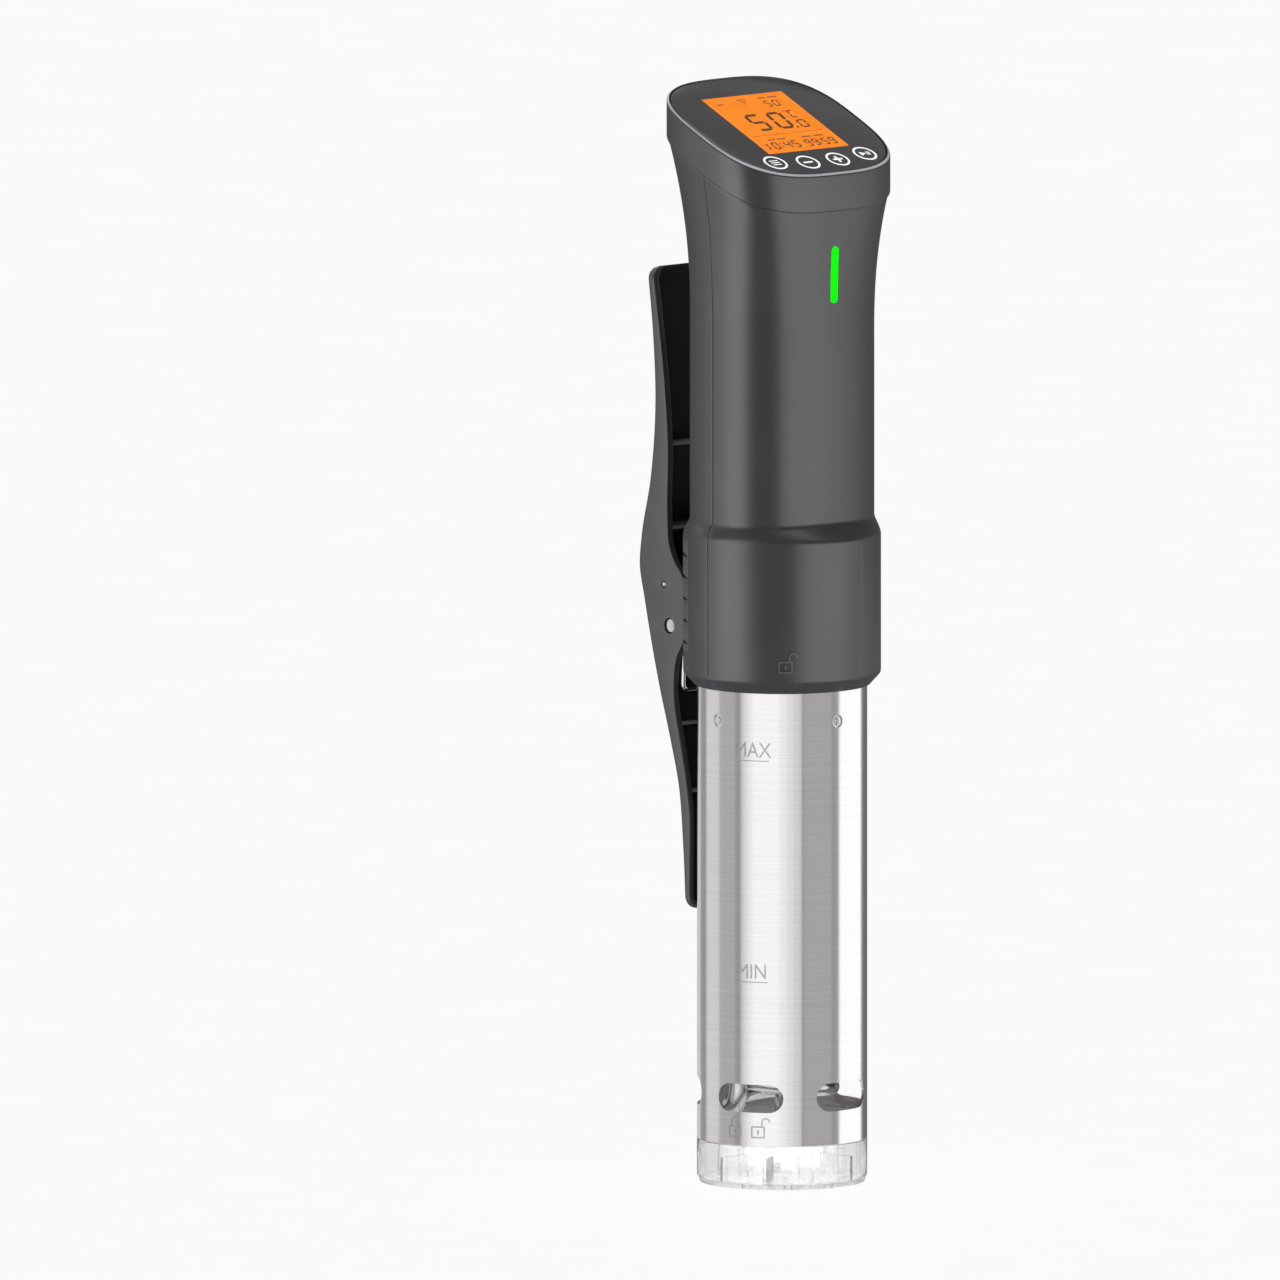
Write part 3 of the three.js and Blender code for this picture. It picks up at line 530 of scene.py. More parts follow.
def rounded(points, radius, steps=4, closed=True):
    """Rounds the corners of an outline of (x, y) points; radius is a number or one per corner."""
    made = []
    count = len(points)
    for i, point in enumerate(points):
        r = radius[i] if isinstance(radius, (list, tuple)) else radius
        here = Vector(point)
        if r <= 0 or (not closed and i in (0, count - 1)):
            made.append(tuple(here))
            continue
        before = Vector(points[i - 1]) - here
        after = Vector(points[(i + 1) % count]) - here
        reach = min(r, before.length * 0.48, after.length * 0.48)
        start, end = here + before.normalized() * reach, here + after.normalized() * reach
        for k in range(steps + 1):
            t = k / steps
            made.append(tuple(start * (1 - t) ** 2 + here * (2 * t * (1 - t)) + end * t * t))
    return made


def prism(outline, place, near, far):
    """A closed solid between two copies of an outline; place(u, v, n) gives the point."""
    return loft([[place(u, v, n) for u, v in outline] for n in (near, far)])


def facing_x(u, v, n):
    return (n, u, v)


def facing_y(u, v, n):
    return (u, n, v)


def facing_z(u, v, n):
    return (u, v, n)


def merge(*parts):
    verts, faces = [], []
    for more, loops in parts:
        start = len(verts)
        verts.extend(more)
        faces.extend(tuple(i + start for i in loop) for loop in loops)
    return verts, faces


def block(x, y, z):
    return prism(rectangle(x, y), facing_z, *z)


def along_y(r, y, x, z):
    """A round bar from one y to another; the two below run along x and z."""
    return prism(circle(x, z, r, 48), facing_y, *y)


def along_x(r, x, y, z):
    return prism(circle(y, z, r, 48), facing_x, *x)


def along_z(r, z, steps):
    return prism(circle(0, 0, r, steps), facing_z, *z)


def tool(shape):
    return add_piece("tool", *shape, ["housing"])


def polar(r, bearing, z=None):
    angle = math.radians(bearing)
    flat = (r * math.sin(angle), -r * math.cos(angle))
    return flat if z is None else (*flat, z)


def at_bearing(shape, bearing):
    """Turns a shape made at the front, -Y, round the axis."""
    c, s = math.cos(math.radians(bearing)), math.sin(math.radians(bearing))
    verts, faces = shape
    return [(x * c - y * s, x * s + y * c, z) for x, y, z in verts], faces


def around(count, shape, first=0):
    """Evenly spaced copies of a shape made at the front, from a first bearing."""
    return merge(*[at_bearing(shape, first + 360 / count * i) for i in range(count)])


def hermite(start, lead, end, trail, t):
    return (
        start * (2 * t**3 - 3 * t**2 + 1)
        + lead * (t**3 - 2 * t**2 + t)
        + end * (-2 * t**3 + 3 * t**2)
        + trail * (t**3 - t**2)
    )


def obround(length, height, steps=16):
    r, half = height / 2, length / 2 - height / 2
    ends = []
    for side, start in ((1, -90), (-1, 90)):
        for i in range(steps + 1):
            angle = math.radians(start + 180 * i / steps)
            ends.append((side * half + r * math.cos(angle), r * math.sin(angle)))
    return ends


def through_points(points, steps):
    """A smooth curve through points, with steps between each two."""
    points = [Vector(p) for p in points]
    path = []
    for i in range(len(points) - 1):
        a = points[max(i - 1, 0)]
        b, c = points[i], points[i + 1]
        d = points[min(i + 2, len(points) - 1)]
        span = (c - b).length
        lead = (c - a) / max((b - a).length + span, 1e-6) * span
        trail = (d - b) / max((d - c).length + span, 1e-6) * span
        path += [hermite(b, lead, c, trail, k / steps) for k in range(steps)]
    path.append(points[-1])
    return path


def swept(path, r, sides=20, ends=4):
    """A round wire along a path, its ends domed."""
    axis = (path[1] - path[0]).normalized()
    side = axis.orthogonal().normalized()
    stations = []
    for k in range(ends):
        angle = math.pi / 2 * k / ends
        centre = path[0] - axis * 0.35 * r * math.cos(angle)
        stations.append((centre, r * (0.55 + 0.45 * math.sin(angle)), axis))
    for i, point in enumerate(path):
        ahead = path[min(i + 1, len(path) - 1)] - path[max(i - 1, 0)]
        stations.append((point, r, ahead.normalized()))
    last = stations[-1][2]
    for k in range(1, ends + 1):
        angle = math.pi / 2 * k / ends
        centre = path[-1] + last * 0.35 * r * math.sin(angle)
        stations.append((centre, r * (0.55 + 0.45 * math.cos(angle)), last))
    rings = []
    for centre, radius, direction in stations:
        side = (side - direction * side.dot(direction)).normalized()
        other = direction.cross(side)
        rings.append([tuple(centre + (side * c + other * s) * radius) for c, s in circle(0, 0, 1, sides)])
    return loft(rings)


def curve_through(table):
    """A smooth function through (z, value) pairs."""
    zs, values = [p[0] for p in table], [p[1] for p in table]
    slopes = np.gradient(values, zs)

    def value(z):
        i = int(np.clip(np.searchsorted(zs, z) - 1, 0, len(zs) - 2))
        span = zs[i + 1] - zs[i]
        t = (z - zs[i]) / span
        return float(hermite(values[i], slopes[i] * span, values[i + 1], slopes[i + 1] * span, t))

    return value


# ---- the handle's form -------------------------------------------------------------------------


def oval_ring(a, b, n, y0, s, slope, steps=ROUND):
    ring = []
    for i in range(steps):
        angle = 2 * math.pi * i / steps
        c, k = math.cos(angle), math.sin(angle)
        r = (abs(c / a) ** n + abs(k / b) ** n) ** (-1 / n)
        y = y0 + r * k
        ring.append((r * c, y, s + slope * (y - HEAD_Y)))
    return ring


def ease(t):
    t = min(1, max(0, t))
    return t * t * (3 - 2 * t)


def body_ring(s, inset, drop=0.0, softness=0.9):
    """The housing's circle, the oval waist above the shoulder, then the flare to the head."""
    samples = [s + drop + softness * (k / 4 - 1) for k in range(9)]
    rise = sum(min(1, max(0, (z - SHOULDER_LOW) / (SHOULDER_HIGH - SHOULDER_LOW))) for z in samples) / 9
    flare = max(0, (s - FLARE_START) / (HEAD_LOW - FLARE_START)) ** FLARE_POWER
    oval = [w + (h - w) * flare for w, h in zip(WAIST, HEAD)]
    a = HOUSING_R + (oval[0] - HOUSING_R) * rise - inset
    b = HOUSING_R + (oval[1] - HOUSING_R) * rise - inset
    n = 2 + (oval[2] - 2) * rise
    slope = SLOPE * ease((s - SHOULDER_HIGH) / (FLARE_START - SHOULDER_HIGH))
    return oval_ring(a, b, n, HEAD_Y * flare**0.6, s, slope)


def body_column(inset, bottom, top, drop=0.0):
    shoulder = [SHOULDER_LOW - 2 + 0.4 * k for k in range(23)]
    stations = [bottom] + [z - drop for z in shoulder] + [240 + 8 * k for k in range(7)]
    stations += [FLARE_START + (top - FLARE_START) * k / 26 for k in range(27)]
    return [body_ring(s, inset, drop) for s in stations]


FAR, SEAM = 50, 0.12  # past any piece, and half the gap between the shells


def half_space(y):
    return tool(block((-FAR, FAR), y, (100, 400)))


def shell_solid(name):
    outer = body_column(0, HOUSING_LOW, HEAD_LOW - 0.3)
    inner = body_column(WALL, HOUSING_LOW - 1, HEAD_LOW + 1, drop=2.4)
    made = add_piece(name, *loft(outer), ["housing"])
    return combine(made, tool(loft(inner)))


SHELL_SCREWS = [(-20.5, 238), (20.5, 238), (-20.5, 316), (20.5, 316)]
CLIP_SCREW_Z = (201, 212.5)
RACK_Y = 12.6
RACK_LOW, RACK_HIGH = low("clip_mount").z, high("clip_mount").z
RELIEF = (CHEEK_IN - 0.6, CHEEK_OUT + 0.6)


LIGHT_Z = (LIGHT_LOW + LIGHT_HIGH) / 2


def light_outline(grow):
    length = LIGHT_HIGH - LIGHT_LOW + grow
    return [(v, LIGHT_Z + u) for u, v in obround(length, 3 + grow)]


def make_front_shell():
    made = shell_solid("handle_front")
    combine(made, half_space((-FAR, -SEAM)), operation="INTERSECT")
    combine(made, tool(prism(light_outline(0.36), facing_y, -34, -20)))
    soften(made, 0.22)
    return finish_piece(made, "body", "housing", "front_shell")


def rack_seat():
    wall = rectangle((HOUSING_R - 1.7, 40), (RACK_LOW - 0.05, RACK_HIGH + 0.05))
    return combine(tool(lathe(wall)), half_space((-FAR, RACK_Y - 0.05)))


def relief_blocks(y, z):
    """Room for the lever's cheeks."""
    inner, outer = RELIEF
    return tool(merge(block((-outer, -inner), y, z), block((inner, outer), y, z)))


def make_rear_shell():
    made = shell_solid("handle_rear")
    combine(made, half_space((SEAM, FAR)), operation="INTERSECT")
    combine(made, rack_seat(), relief_blocks((29.3, 45), (183, 209)))
    holes = [along_y(3.2, (12, 40), x, z) for x, z in SHELL_SCREWS]
    holes += [along_y(1.7, (25, 40), 0, z) for z in CLIP_SCREW_Z]
    combine(made, tool(merge(*holes)), tool(along_y(4.7, (15, 40), 0, CORD_Z)))
    soften(made, 0.22)
    return finish_piece(made, "body", "housing", "rear_shell")


def make_light_bar():
    made = add_piece("light_bar", *prism(light_outline(0), facing_y, -34, -23.4), ["light"])
    proud = tool(loft(body_column(-0.12, HOUSING_LOW, HEAD_LOW - 0.3)))
    combine(made, proud, operation="INTERSECT")
    soften(made, 0.3, segments=3)
    return finish_piece(made, "body", "light", "light_pipe")


def screw(name, x, y, z, r, depth, body, node):
    """A pan-head screw that faces +Y, with a cross recess."""
    corners = [(0.05, y + depth), (r, y + depth), (r, y + depth * 0.1), (0.05, y)]
    head = rounded(corners, [0, r * 0.5, 0.2, 0], 6, False)
    dome = [[(u, level, v) for u, v in circle(x, z, q, 48)] for q, level in head]
    made = add_piece(name, *loft(dome), ["steel_bright"])
    top = (y + depth * 0.45, y + depth + 1)
    for half_x, half_z in ((r * 0.62, r * 0.14), (r * 0.14, r * 0.62)):
        combine(made, tool(block((x - half_x, x + half_x), top, (z - half_z, z + half_z))))
    return finish_piece(made, body, "steel_bright", node)


def make_screws():
    for i, (x, z) in enumerate(SHELL_SCREWS, 1):
        top = high("shell_screw_1").y
        screw(f"shell_screw_head_{i}", x, top - 2.0, z, 2.85, 2.0, "body", f"shell_screw_{i}")
    for i, z in enumerate(CLIP_SCREW_Z, 1):
        top = high("clip_mount_screw_1").y
        screw(f"clip_screw_head_{i}", 0, top - 1.6, z, 2.55, 1.6, "body", f"clip_mount_screw_{i}")


def make_cord_gland():
    wall = low("cord_gland").y + 3.6
    flange = [(3.3, -3.6), (6, -3.6), (6, -3.1), (4.4, -3.1)]
    boss = [(4.4, 0.7), (6.4, 0.7), (5.2, 3.2), (3.3, 3.2)]
    profile = rounded(flange + boss, [0.2, 0.2, 0.2, 0, 0.3, 0.5, 0.7, 0.3])
    verts, faces = lathe(profile, 96)
    verts = [(x, wall + z, CORD_Z + y) for x, y, z in verts]
    made = add_piece("cord_grommet", verts, faces, ["rubber_parts"])
    return finish_piece(made, "body", "rubber_parts", "cord_gland")


# ---- head ------------------------------------------------------------------------------------


def head_ring(grow, s):
    return oval_ring(HEAD[0] + grow, HEAD[1] + grow, HEAD[2], HEAD_Y, s, SLOPE)


def make_head_collar():
    corners = [
        (0.5, HEAD_LOW),
        (0.5, HEAD_TOP - 0.75),
        (-0.15, HEAD_TOP),
        (-0.5, HEAD_TOP),
        (-0.5, HEAD_TOP - 1.9),
        (-2.4, HEAD_TOP - 1.9),
        (-2.4, HEAD_LOW),
    ]
    profile = rounded(corners, [0.35, 0.3, 0.15, 0.08, 0, 0.2, 0.2], 4)
    verts, faces = loft([head_ring(grow, s) for grow, s in profile], wrapped=True)
    # The rows along the top edge take the rim material, which is a painted highlight
    rim = [i for i, (grow, s) in enumerate(profile) if s > HEAD_TOP - 0.6 and grow > -0.3]
    painted_highlight_faces = [int(f // ROUND in rim[:-1]) for f in range(len(faces))]
    made = add_piece("head_ring", verts, faces, ["head_ring", "rim"], painted_highlight_faces)
    return finish_piece(made, "body", "head_ring", "head_collar")


LENS_TOP = HEAD_TOP - 0.08
FACE_NORMAL = Vector((0, -math.sin(SLANT), math.cos(SLANT)))
FACE_DOWN = Vector((0, -math.cos(SLANT), -math.sin(SLANT)))
FACE_MIDDLE = Vector((0, SCREEN_Y, LENS_TOP + (SCREEN_Y - HEAD_Y) * SLOPE))


def on_face(u, v, n):
    """A point of the slanted face: u to the right, v down it, n out of it."""
    return tuple(FACE_MIDDLE + Vector((u, 0, 0)) + FACE_DOWN * v + FACE_NORMAL * n)


def make_lens():
    rings = [head_ring(-1.2, HEAD_TOP - 1.6), head_ring(-0.85, HEAD_TOP - 1.4)]
    rings += [head_ring(-0.8, LENS_TOP - 0.3), head_ring(-0.86, LENS_TOP - 0.1), head_ring(-1.05, LENS_TOP)]
    made = add_piece("display_window", *loft(rings), ["lens"], crease=60)
    return finish_piece(made, "body", "lens", "display_lens")


def stroke(points, width, closed=False):
    """A flat line of even width along points, as an outline strip."""
    points = [Vector(p) for p in points]
    count = len(points)
    left, right = [], []
    for i, point in enumerate(points):
        before = points[i - 1] if (i or closed) else point
        after = points[(i + 1) % count] if (i < count - 1 or closed) else point
        along = (after - before).normalized()
        side = Vector((-along.y, along.x)) * width / 2
        left.append(tuple(point + side))
        right.append(tuple(point - side))
    return left, right, closed


def raise_strip(strip, place, near, far):
    left, right, closed = strip
    rings = [
        [place(*a, near), place(*b, near), place(*b, far), place(*a, far)]
        for a, b in zip(left, right)
    ]
    return loft(rings, wrapped=closed)


def arc(x, y, r, start, end, steps=24):
    turns = (math.radians(start + (end - start) * i / steps) for i in range(steps + 1))
    return [(x + r * math.cos(a), y + r * math.sin(a)) for a in turns]


LIT = {
    "0": "abcdef",
    "1": "bc",
    "4": "bcfg",
    "5": "acdfg",
    "9": "abcdfg",
    "C": "adef",
}


def digit(figure, u, v, width, height, thick, lean=0.06):
    """The lit segments of one figure, top left corner at (u, v), as outlines."""
    gap, half, middle = thick * 0.16, thick / 2, height / 2
    x0, x1 = half, width - half
    level = {"a": half, "g": middle, "d": height - half}
    upright = {
        "f": (x0, half, middle),
        "b": (x1, half, middle),
        "e": (x0, middle, height - half),
        "c": (x1, middle, height - half),
    }
    shapes = []
    for name in LIT[figure]:
        if name in level:
            y = level[name]
            left, right = x0 + half, x1 - half
            outline = [(x0 + gap, y), (left, y - half), (right, y - half)]
            outline += [(x1 - gap, y), (right, y + half), (left, y + half)]
        else:
            x, top, bottom = upright[name]
            outline = [(x, top + gap), (x + half, top + half), (x + half, bottom - half)]
            outline += [(x, bottom - gap), (x - half, bottom - half), (x - half, top + half)]
        shapes.append([(u + p + (height - q) * lean, v + q) for p, q in outline])
    return shapes


DEGREE_SIGNS = ((9.2, -6.6, 0.5, 20, 0.22), (12.0, -14.2, 0.3, 16, 0.16))
WORD_BARS = (
    (-13.2, -14.6, 3.0),
    (6.6, -16.4, 3.4),
    (11.4, -16.4, 4.4),
    (-10.2, 10.5, 3.2),
    (-5.8, 10.5, 3.6),
    (5.6, 10.7, 4.2),
    (10.9, 10.7, 4.0),
)


def make_screen():
    outline = rounded(rectangle((-18, 18), (-19.25, 19.25)), 0.5)
    made = add_piece("screen_face", *prism(outline, on_face, -0.3, 0.04), ["screen"])
    finish_piece(made, "body", "screen")
    near, far = 0.03, 0.075
    shapes = []
    for figures, u, v, width, height, thick, pitch in (
        ("50", -10.3, -6.7, 6.7, 11.2, 1.35, 9.6),
        ("0", 8.7, -0.4, 3.9, 5.2, 0.75, 5),
        ("C", 9.6, -6.9, 2.7, 5.0, 0.62, 5),
        ("50", 5.2, -14.3, 2.5, 4.0, 0.5, 3.5),
        ("1", -17.1, 12.2, 2.7, 4.8, 0.62, 3.4),
        ("0", -12.7, 12.2, 2.7, 4.8, 0.62, 3.4),
        ("45", -7.4, 12.2, 2.8, 4.8, 0.62, 3.7),
        ("99", 1.9, 12.6, 2.5, 4.4, 0.55, 3.3),
        ("59", 9.4, 12.6, 2.5, 4.4, 0.55, 3.3),
    ):
        for i, figure in enumerate(figures):
            shapes += digit(figure, u + pitch * i, v, width, height, thick)
    points = [(7.0, 4.2, 0.5), (-8.7, 13.6, 0.35), (-8.8, 15.6, 0.35), (8.5, 13.8, 0.32), (8.4, 15.6, 0.32)]
    shapes += [circle(u, v, r, 20) for u, v, r in points]
    solids = merge(*[prism(shape, on_face, near, far) for shape in shapes])
    finish_piece(add_piece("screen_segments", *solids, ["segments"]), "body", "screen")
    strips = [stroke([(-15.7, 7.4), (15.2, 7.4)], 0.22)]
    strips += [stroke(arc(-2.6, -13.6, r, 225, 315), 0.4) for r in (1.2, 2.2, 3.2)]
    strips += [stroke(circle(u, v, r, n), w, True) for u, v, r, n, w in DEGREE_SIGNS]
    strips += [stroke(arc(12.9, -13.2, 0.8, 50, 310), 0.25)]
    fine = [raise_strip(strip, on_face, near, far) for strip in strips]
    fine.append(prism(circle(-2.6, -13.6, 0.4, 16), on_face, near, far))
    for u, v, w in WORD_BARS:
        fine.append(raise_strip(stroke([(u - w / 2, v), (u + w / 2, v)], 0.75), on_face, near, far))
    finish_piece(add_piece("screen_fine_lines", *merge(*fine), ["fine_print"]), "body", "screen")


def lettering(name, word, size, place, near, far, slot, narrow=0.86):
    """A plain word as thin raised letters, centred and size tall."""
    curve = bpy.data.curves.new("word", "FONT")
    curve.body = word
    curve.align_x = "CENTER"
    curve.size = size / 0.73
    curve.fill_mode = "BOTH"
    curve.resolution_u = 3
    holder = bpy.data.objects.new("word", curve)
    bpy.context.scene.collection.objects.link(holder)
    bpy.context.view_layer.update()
    mesh = bpy.data.meshes.new_from_object(holder.evaluated_get(bpy.context.evaluated_depsgraph_get()))
    bpy.data.objects.remove(holder)
    work = bmesh.new()
    work.from_mesh(mesh)
    bmesh.ops.remove_doubles(work, verts=work.verts, dist=size * 1e-4)
    long_edges = [e for e in work.edges if e.calc_length() > size * 0.25]
    bmesh.ops.subdivide_edges(work, edges=long_edges, cuts=2)
    bmesh.ops.triangulate(work, faces=work.faces)
    made = bmesh.ops.extrude_face_region(work, geom=list(work.faces))
    for item in made["geom"]:
        if isinstance(item, bmesh.types.BMVert):
            item.co.z = 1
    work.verts.index_update()
    verts = []
    for p in work.verts:
        verts.append(place(p.co.x * narrow, -(p.co.y - size / 2), far if p.co.z > 0.5 else near))
    faces = [tuple(p.index for p in f.verts) for f in work.faces]
    work.free()
    return add_piece(name, verts, faces, [slot], crease=20)


KEYS = [(-19.8, 25), (-6.5, 26.8), (6.8, 26.9), (20.3, 25.2)]


def make_keys():
    """Printed rings and signs over the touch springs."""
    near, far = -0.02, 0.045
    strips = [stroke(circle(u, v, 4.0), 0.8, True) for u, v in KEYS]
    (menu_u, menu_v), (minus_u, minus_v), (plus_u, plus_v), (play_u, play_v) = KEYS
    for d in (-1.3, 0, 1.3):
        strips.append(stroke([(menu_u - 1.9, menu_v + d), (menu_u + 1.9, menu_v + d)], 0.5))
    strips.append(stroke([(minus_u - 2, minus_v), (minus_u + 2, minus_v)], 0.9))
    strips.append(stroke([(plus_u - 2, plus_v), (plus_u + 2, plus_v)], 0.95))
    strips.append(stroke([(plus_u, plus_v - 2), (plus_u, plus_v + 2)], 0.95))
    for d in (1.0, 1.9):
        strips.append(stroke([(play_u + d, play_v - 1.1), (play_u + d, play_v + 1.1)], 0.45))
    parts = [raise_strip(strip, on_face, near, far) for strip in strips]
    arrow = [(play_u - 1.9, play_v - 1.3), (play_u + 0.4, play_v), (play_u - 1.9, play_v + 1.3)]
    parts.append(prism(arrow, on_face, near, far))
    finish_piece(add_piece("key_marks", *merge(*parts), ["print"]), "body", "lens")

# ---- sleeve, collar and cap ----------------------------------------------------------------------


def make_collar():
    corners = [
        (TUBE_R + 0.4, COLLAR_LOW),
        (TUBE_R + 0.9, COLLAR_LOW),
        (HOUSING_R, HOUSING_LOW - 1.1),
        (HOUSING_R - 0.04, HOUSING_LOW + 0.4),
        (HOUSING_R - WALL - 0.3, HOUSING_LOW + 0.4),
        (HOUSING_R - WALL - 0.3, 177.2),
        (24, 177.2),
        (24, TUBE_HIGH + 0.5),
        (TUBE_R + 0.4, TUBE_HIGH + 0.5),
    ]
    profile = rounded(corners, [0.15, 0.7, 3.0, 0, 0, 0, 0, 0, 0], 10)
    made = add_piece("chamfer_collar", *lathe(profile), ["dark_collar"])
    return finish_piece(made, "body", "dark_collar", "housing_collar")


def sphere(r, x, y, z, steps=40, rows=20):
    rings = []
    for k in range(1, rows):
        angle = math.pi * k / rows
        level = z - r * math.cos(angle)
        rings.append([(u, v, level) for u, v in circle(x, y, r * math.sin(angle), steps)])
    return loft(rings)


def make_sleeve():
    levels = [TUBE_LOW + (TUBE_HIGH - TUBE_LOW) * k / 40 for k in range(1, 40)]
    outline = [(TUBE_IN, TUBE_LOW), (TUBE_R, TUBE_LOW)] + [(TUBE_R, z) for z in levels]
    outline += [(TUBE_R, TUBE_HIGH), (TUBE_IN, TUBE_HIGH)] + [(TUBE_IN, z) for z in reversed(levels)]
    made = add_piece("steel_tube", *lathe(outline, 192), ["brushed_sleeve", "steel_inside"])
    bumps = tool(around(LUGS, sphere(4.8, 0, -TUBE_R - 3.3, LUG_Z)))
    combine(bumps, tool(along_z(TUBE_IN + 0.3, (LUG_Z - 8, LUG_Z + 8), 128)), operation="INTERSECT")
    cap_lug = block((-2, 2), (-TUBE_IN - 0.4, -TUBE_IN + 1.2), (CAP_LUG_Z - 1, CAP_LUG_Z + 1))
    combine(made, bumps, tool(around(2, cap_lug, CAP_LUG_BEARING)), operation="UNION")
    groove = [(0.85, -TUBE_R - 1), (2.25, -TUBE_R - 1), (2.15, -TUBE_R + 0.5), (1.15, -TUBE_R + 0.5)]
    verts, faces = lathe(groove, 48)
    dents = around(LUGS, ([(x, z, LUG_Z + y) for x, y, z in verts], faces))
    outline = [(u, SLOT_Z + v) for u, v in obround(SLOT_LENGTH, SLOT_HEIGHT, 24)]
    slots = around(SLOTS, prism(outline, facing_y, -35, -20), SLOT_BEARING)
    combine(made, tool(dents), tool(slots))
    soften(made, 0.14)
    face_tube(made)
    return finish_piece(made, "sleeve", "brushed_sleeve", "steel_sleeve")


def face_tube(made):
    """Gives the tube's wall the normals of a true cylinder, and its inside a rougher steel darkened as
    painted shade.
    """
    mesh = made.data
    set_materials(mesh, ["brushed_sleeve", "steel_inside"])
    normals = [Vector(corner.vector) for corner in mesh.corner_normals]
    for face in mesh.polygons:
        outward = Vector((face.center.x, face.center.y, 0))
        reach, outward = outward.length / MM, outward.normalized()
        face.material_index = int(face.normal.dot(outward) < -0.5 or reach < TUBE_IN + 0.1)
        if reach > TUBE_R - 0.05 and face.normal.dot(outward) > 0.995:
            for corner in face.loop_indices:
                point = mesh.vertices[mesh.loops[corner].vertex_index].co
                normals[corner] = Vector((point.x, point.y, 0)).normalized()
    mesh.normals_split_custom_set([tuple(n) for n in normals])


def on_tube(bearing, z, r=TUBE_R):
    """Places flat marks on the tube: u along it to the right, v down it."""

    def place(u, v, n):
        return polar(r + n, bearing + math.degrees(u / r), z - v)

    return place


def dense(points, step=0.3):
    """Adds points along a closed outline, so that it bends with the wall it lies on."""
    made = []
    for a, b in zip(points, points[1:] + points[:1]):
        count = max(1, int(math.dist(a, b) / step))
        made += [(a[0] + (b[0] - a[0]) * k / count, a[1] + (b[1] - a[1]) * k / count) for k in range(count)]
    return made


def padlock(place, near, far, size, opened):
    """A padlock sign: a square body with a keyhole, and a shackle that is shut or swung open."""
    line = 0.12 * size
    body = rounded(rectangle((-0.5 * size, 0.5 * size), (-0.08 * size, 0.75 * size)), 0.06 * size)
    shift = 0.62 * size if opened else 0
    shackle = [(shift - 0.3 * size, -0.1 * size)] + arc(shift, -0.45 * size, 0.3 * size, 180, 360)
    if not opened:
        shackle.append((0.3 * size, -0.1 * size))
    strips = [stroke(dense(body), line, True), stroke(shackle, line)]
    strips.append(stroke([(0, 0.3 * size), (0, 0.52 * size)], line))
    parts = [raise_strip(strip, place, near, far) for strip in strips]
    parts.append(prism(circle(0, 0.27 * size, 0.1 * size, 20), place, near, far))
    return merge(*parts)


def make_marks():
    near, far = -0.03, 0.03
    for name, z, bearing in (("MAX", 151.2, -61.6), ("MIN", 75.2, -62.2)):
        place = on_tube(bearing, z)
        made = lettering(f"mark_{name.lower()}", name, 5.3, place, near, far, "etched")
        finish_piece(made, "sleeve", "brushed_sleeve")
        line = raise_strip(stroke([(-6 + 0.5 * i, 3.9) for i in range(25)], 0.35), place, near, far)
        finish_piece(add_piece(f"line_{name.lower()}", *line, ["etched"]), "sleeve", "brushed_sleeve")
    for name, bearing, opened in (("shut", -74.6, False), ("open", -57.5, True)):
        sign = padlock(on_tube(bearing, 21.3), near, far, 4.4, opened)
        finish_piece(add_piece(f"lock_{name}", *sign, ["etched"]), "sleeve", "brushed_sleeve")
    # The raised padlock on the housing is a little lighter than the housing: painted highlight
    sign = padlock(on_tube(-39, 181.6, HOUSING_R), -0.05, 0.3, 4.4, True)
    finish_piece(add_piece("housing_lock_sign", *sign, ["raised_sign"]), "body", "housing")


def cap_tracks(skirt):
    """The ways of the sleeve's two lugs through the skirt: down from its rim, then along."""
    depth = (-skirt - 1, -skirt + 1.25)
    low_z, high_z = CAP_LUG_Z - 1.4, CAP_LUG_Z + 1.4
    level = block((-2.5, 2.5), depth, (low_z, high_z))
    entry = block((-2.6, 2.6), depth, (low_z, 24))
    turns = [(level, -CAP_TWIST * k / 3) for k in range(4)] + [(entry, -CAP_TWIST)]
    bearings = (CAP_LUG_BEARING, CAP_LUG_BEARING + 180)
    return [tool(at_bearing(shape, start + turn)) for start in bearings for shape, turn in turns]


def floor_hole(length, width, r):
    return prism([(v, u - r) for u, v in obround(length, width)], facing_z, -3, 4)


FOOT = 2.15  # height of the frosted foot, tinted grey as painted shade
BLADE_BEARING = -54  # the rib whose sides are darkened as painted shade


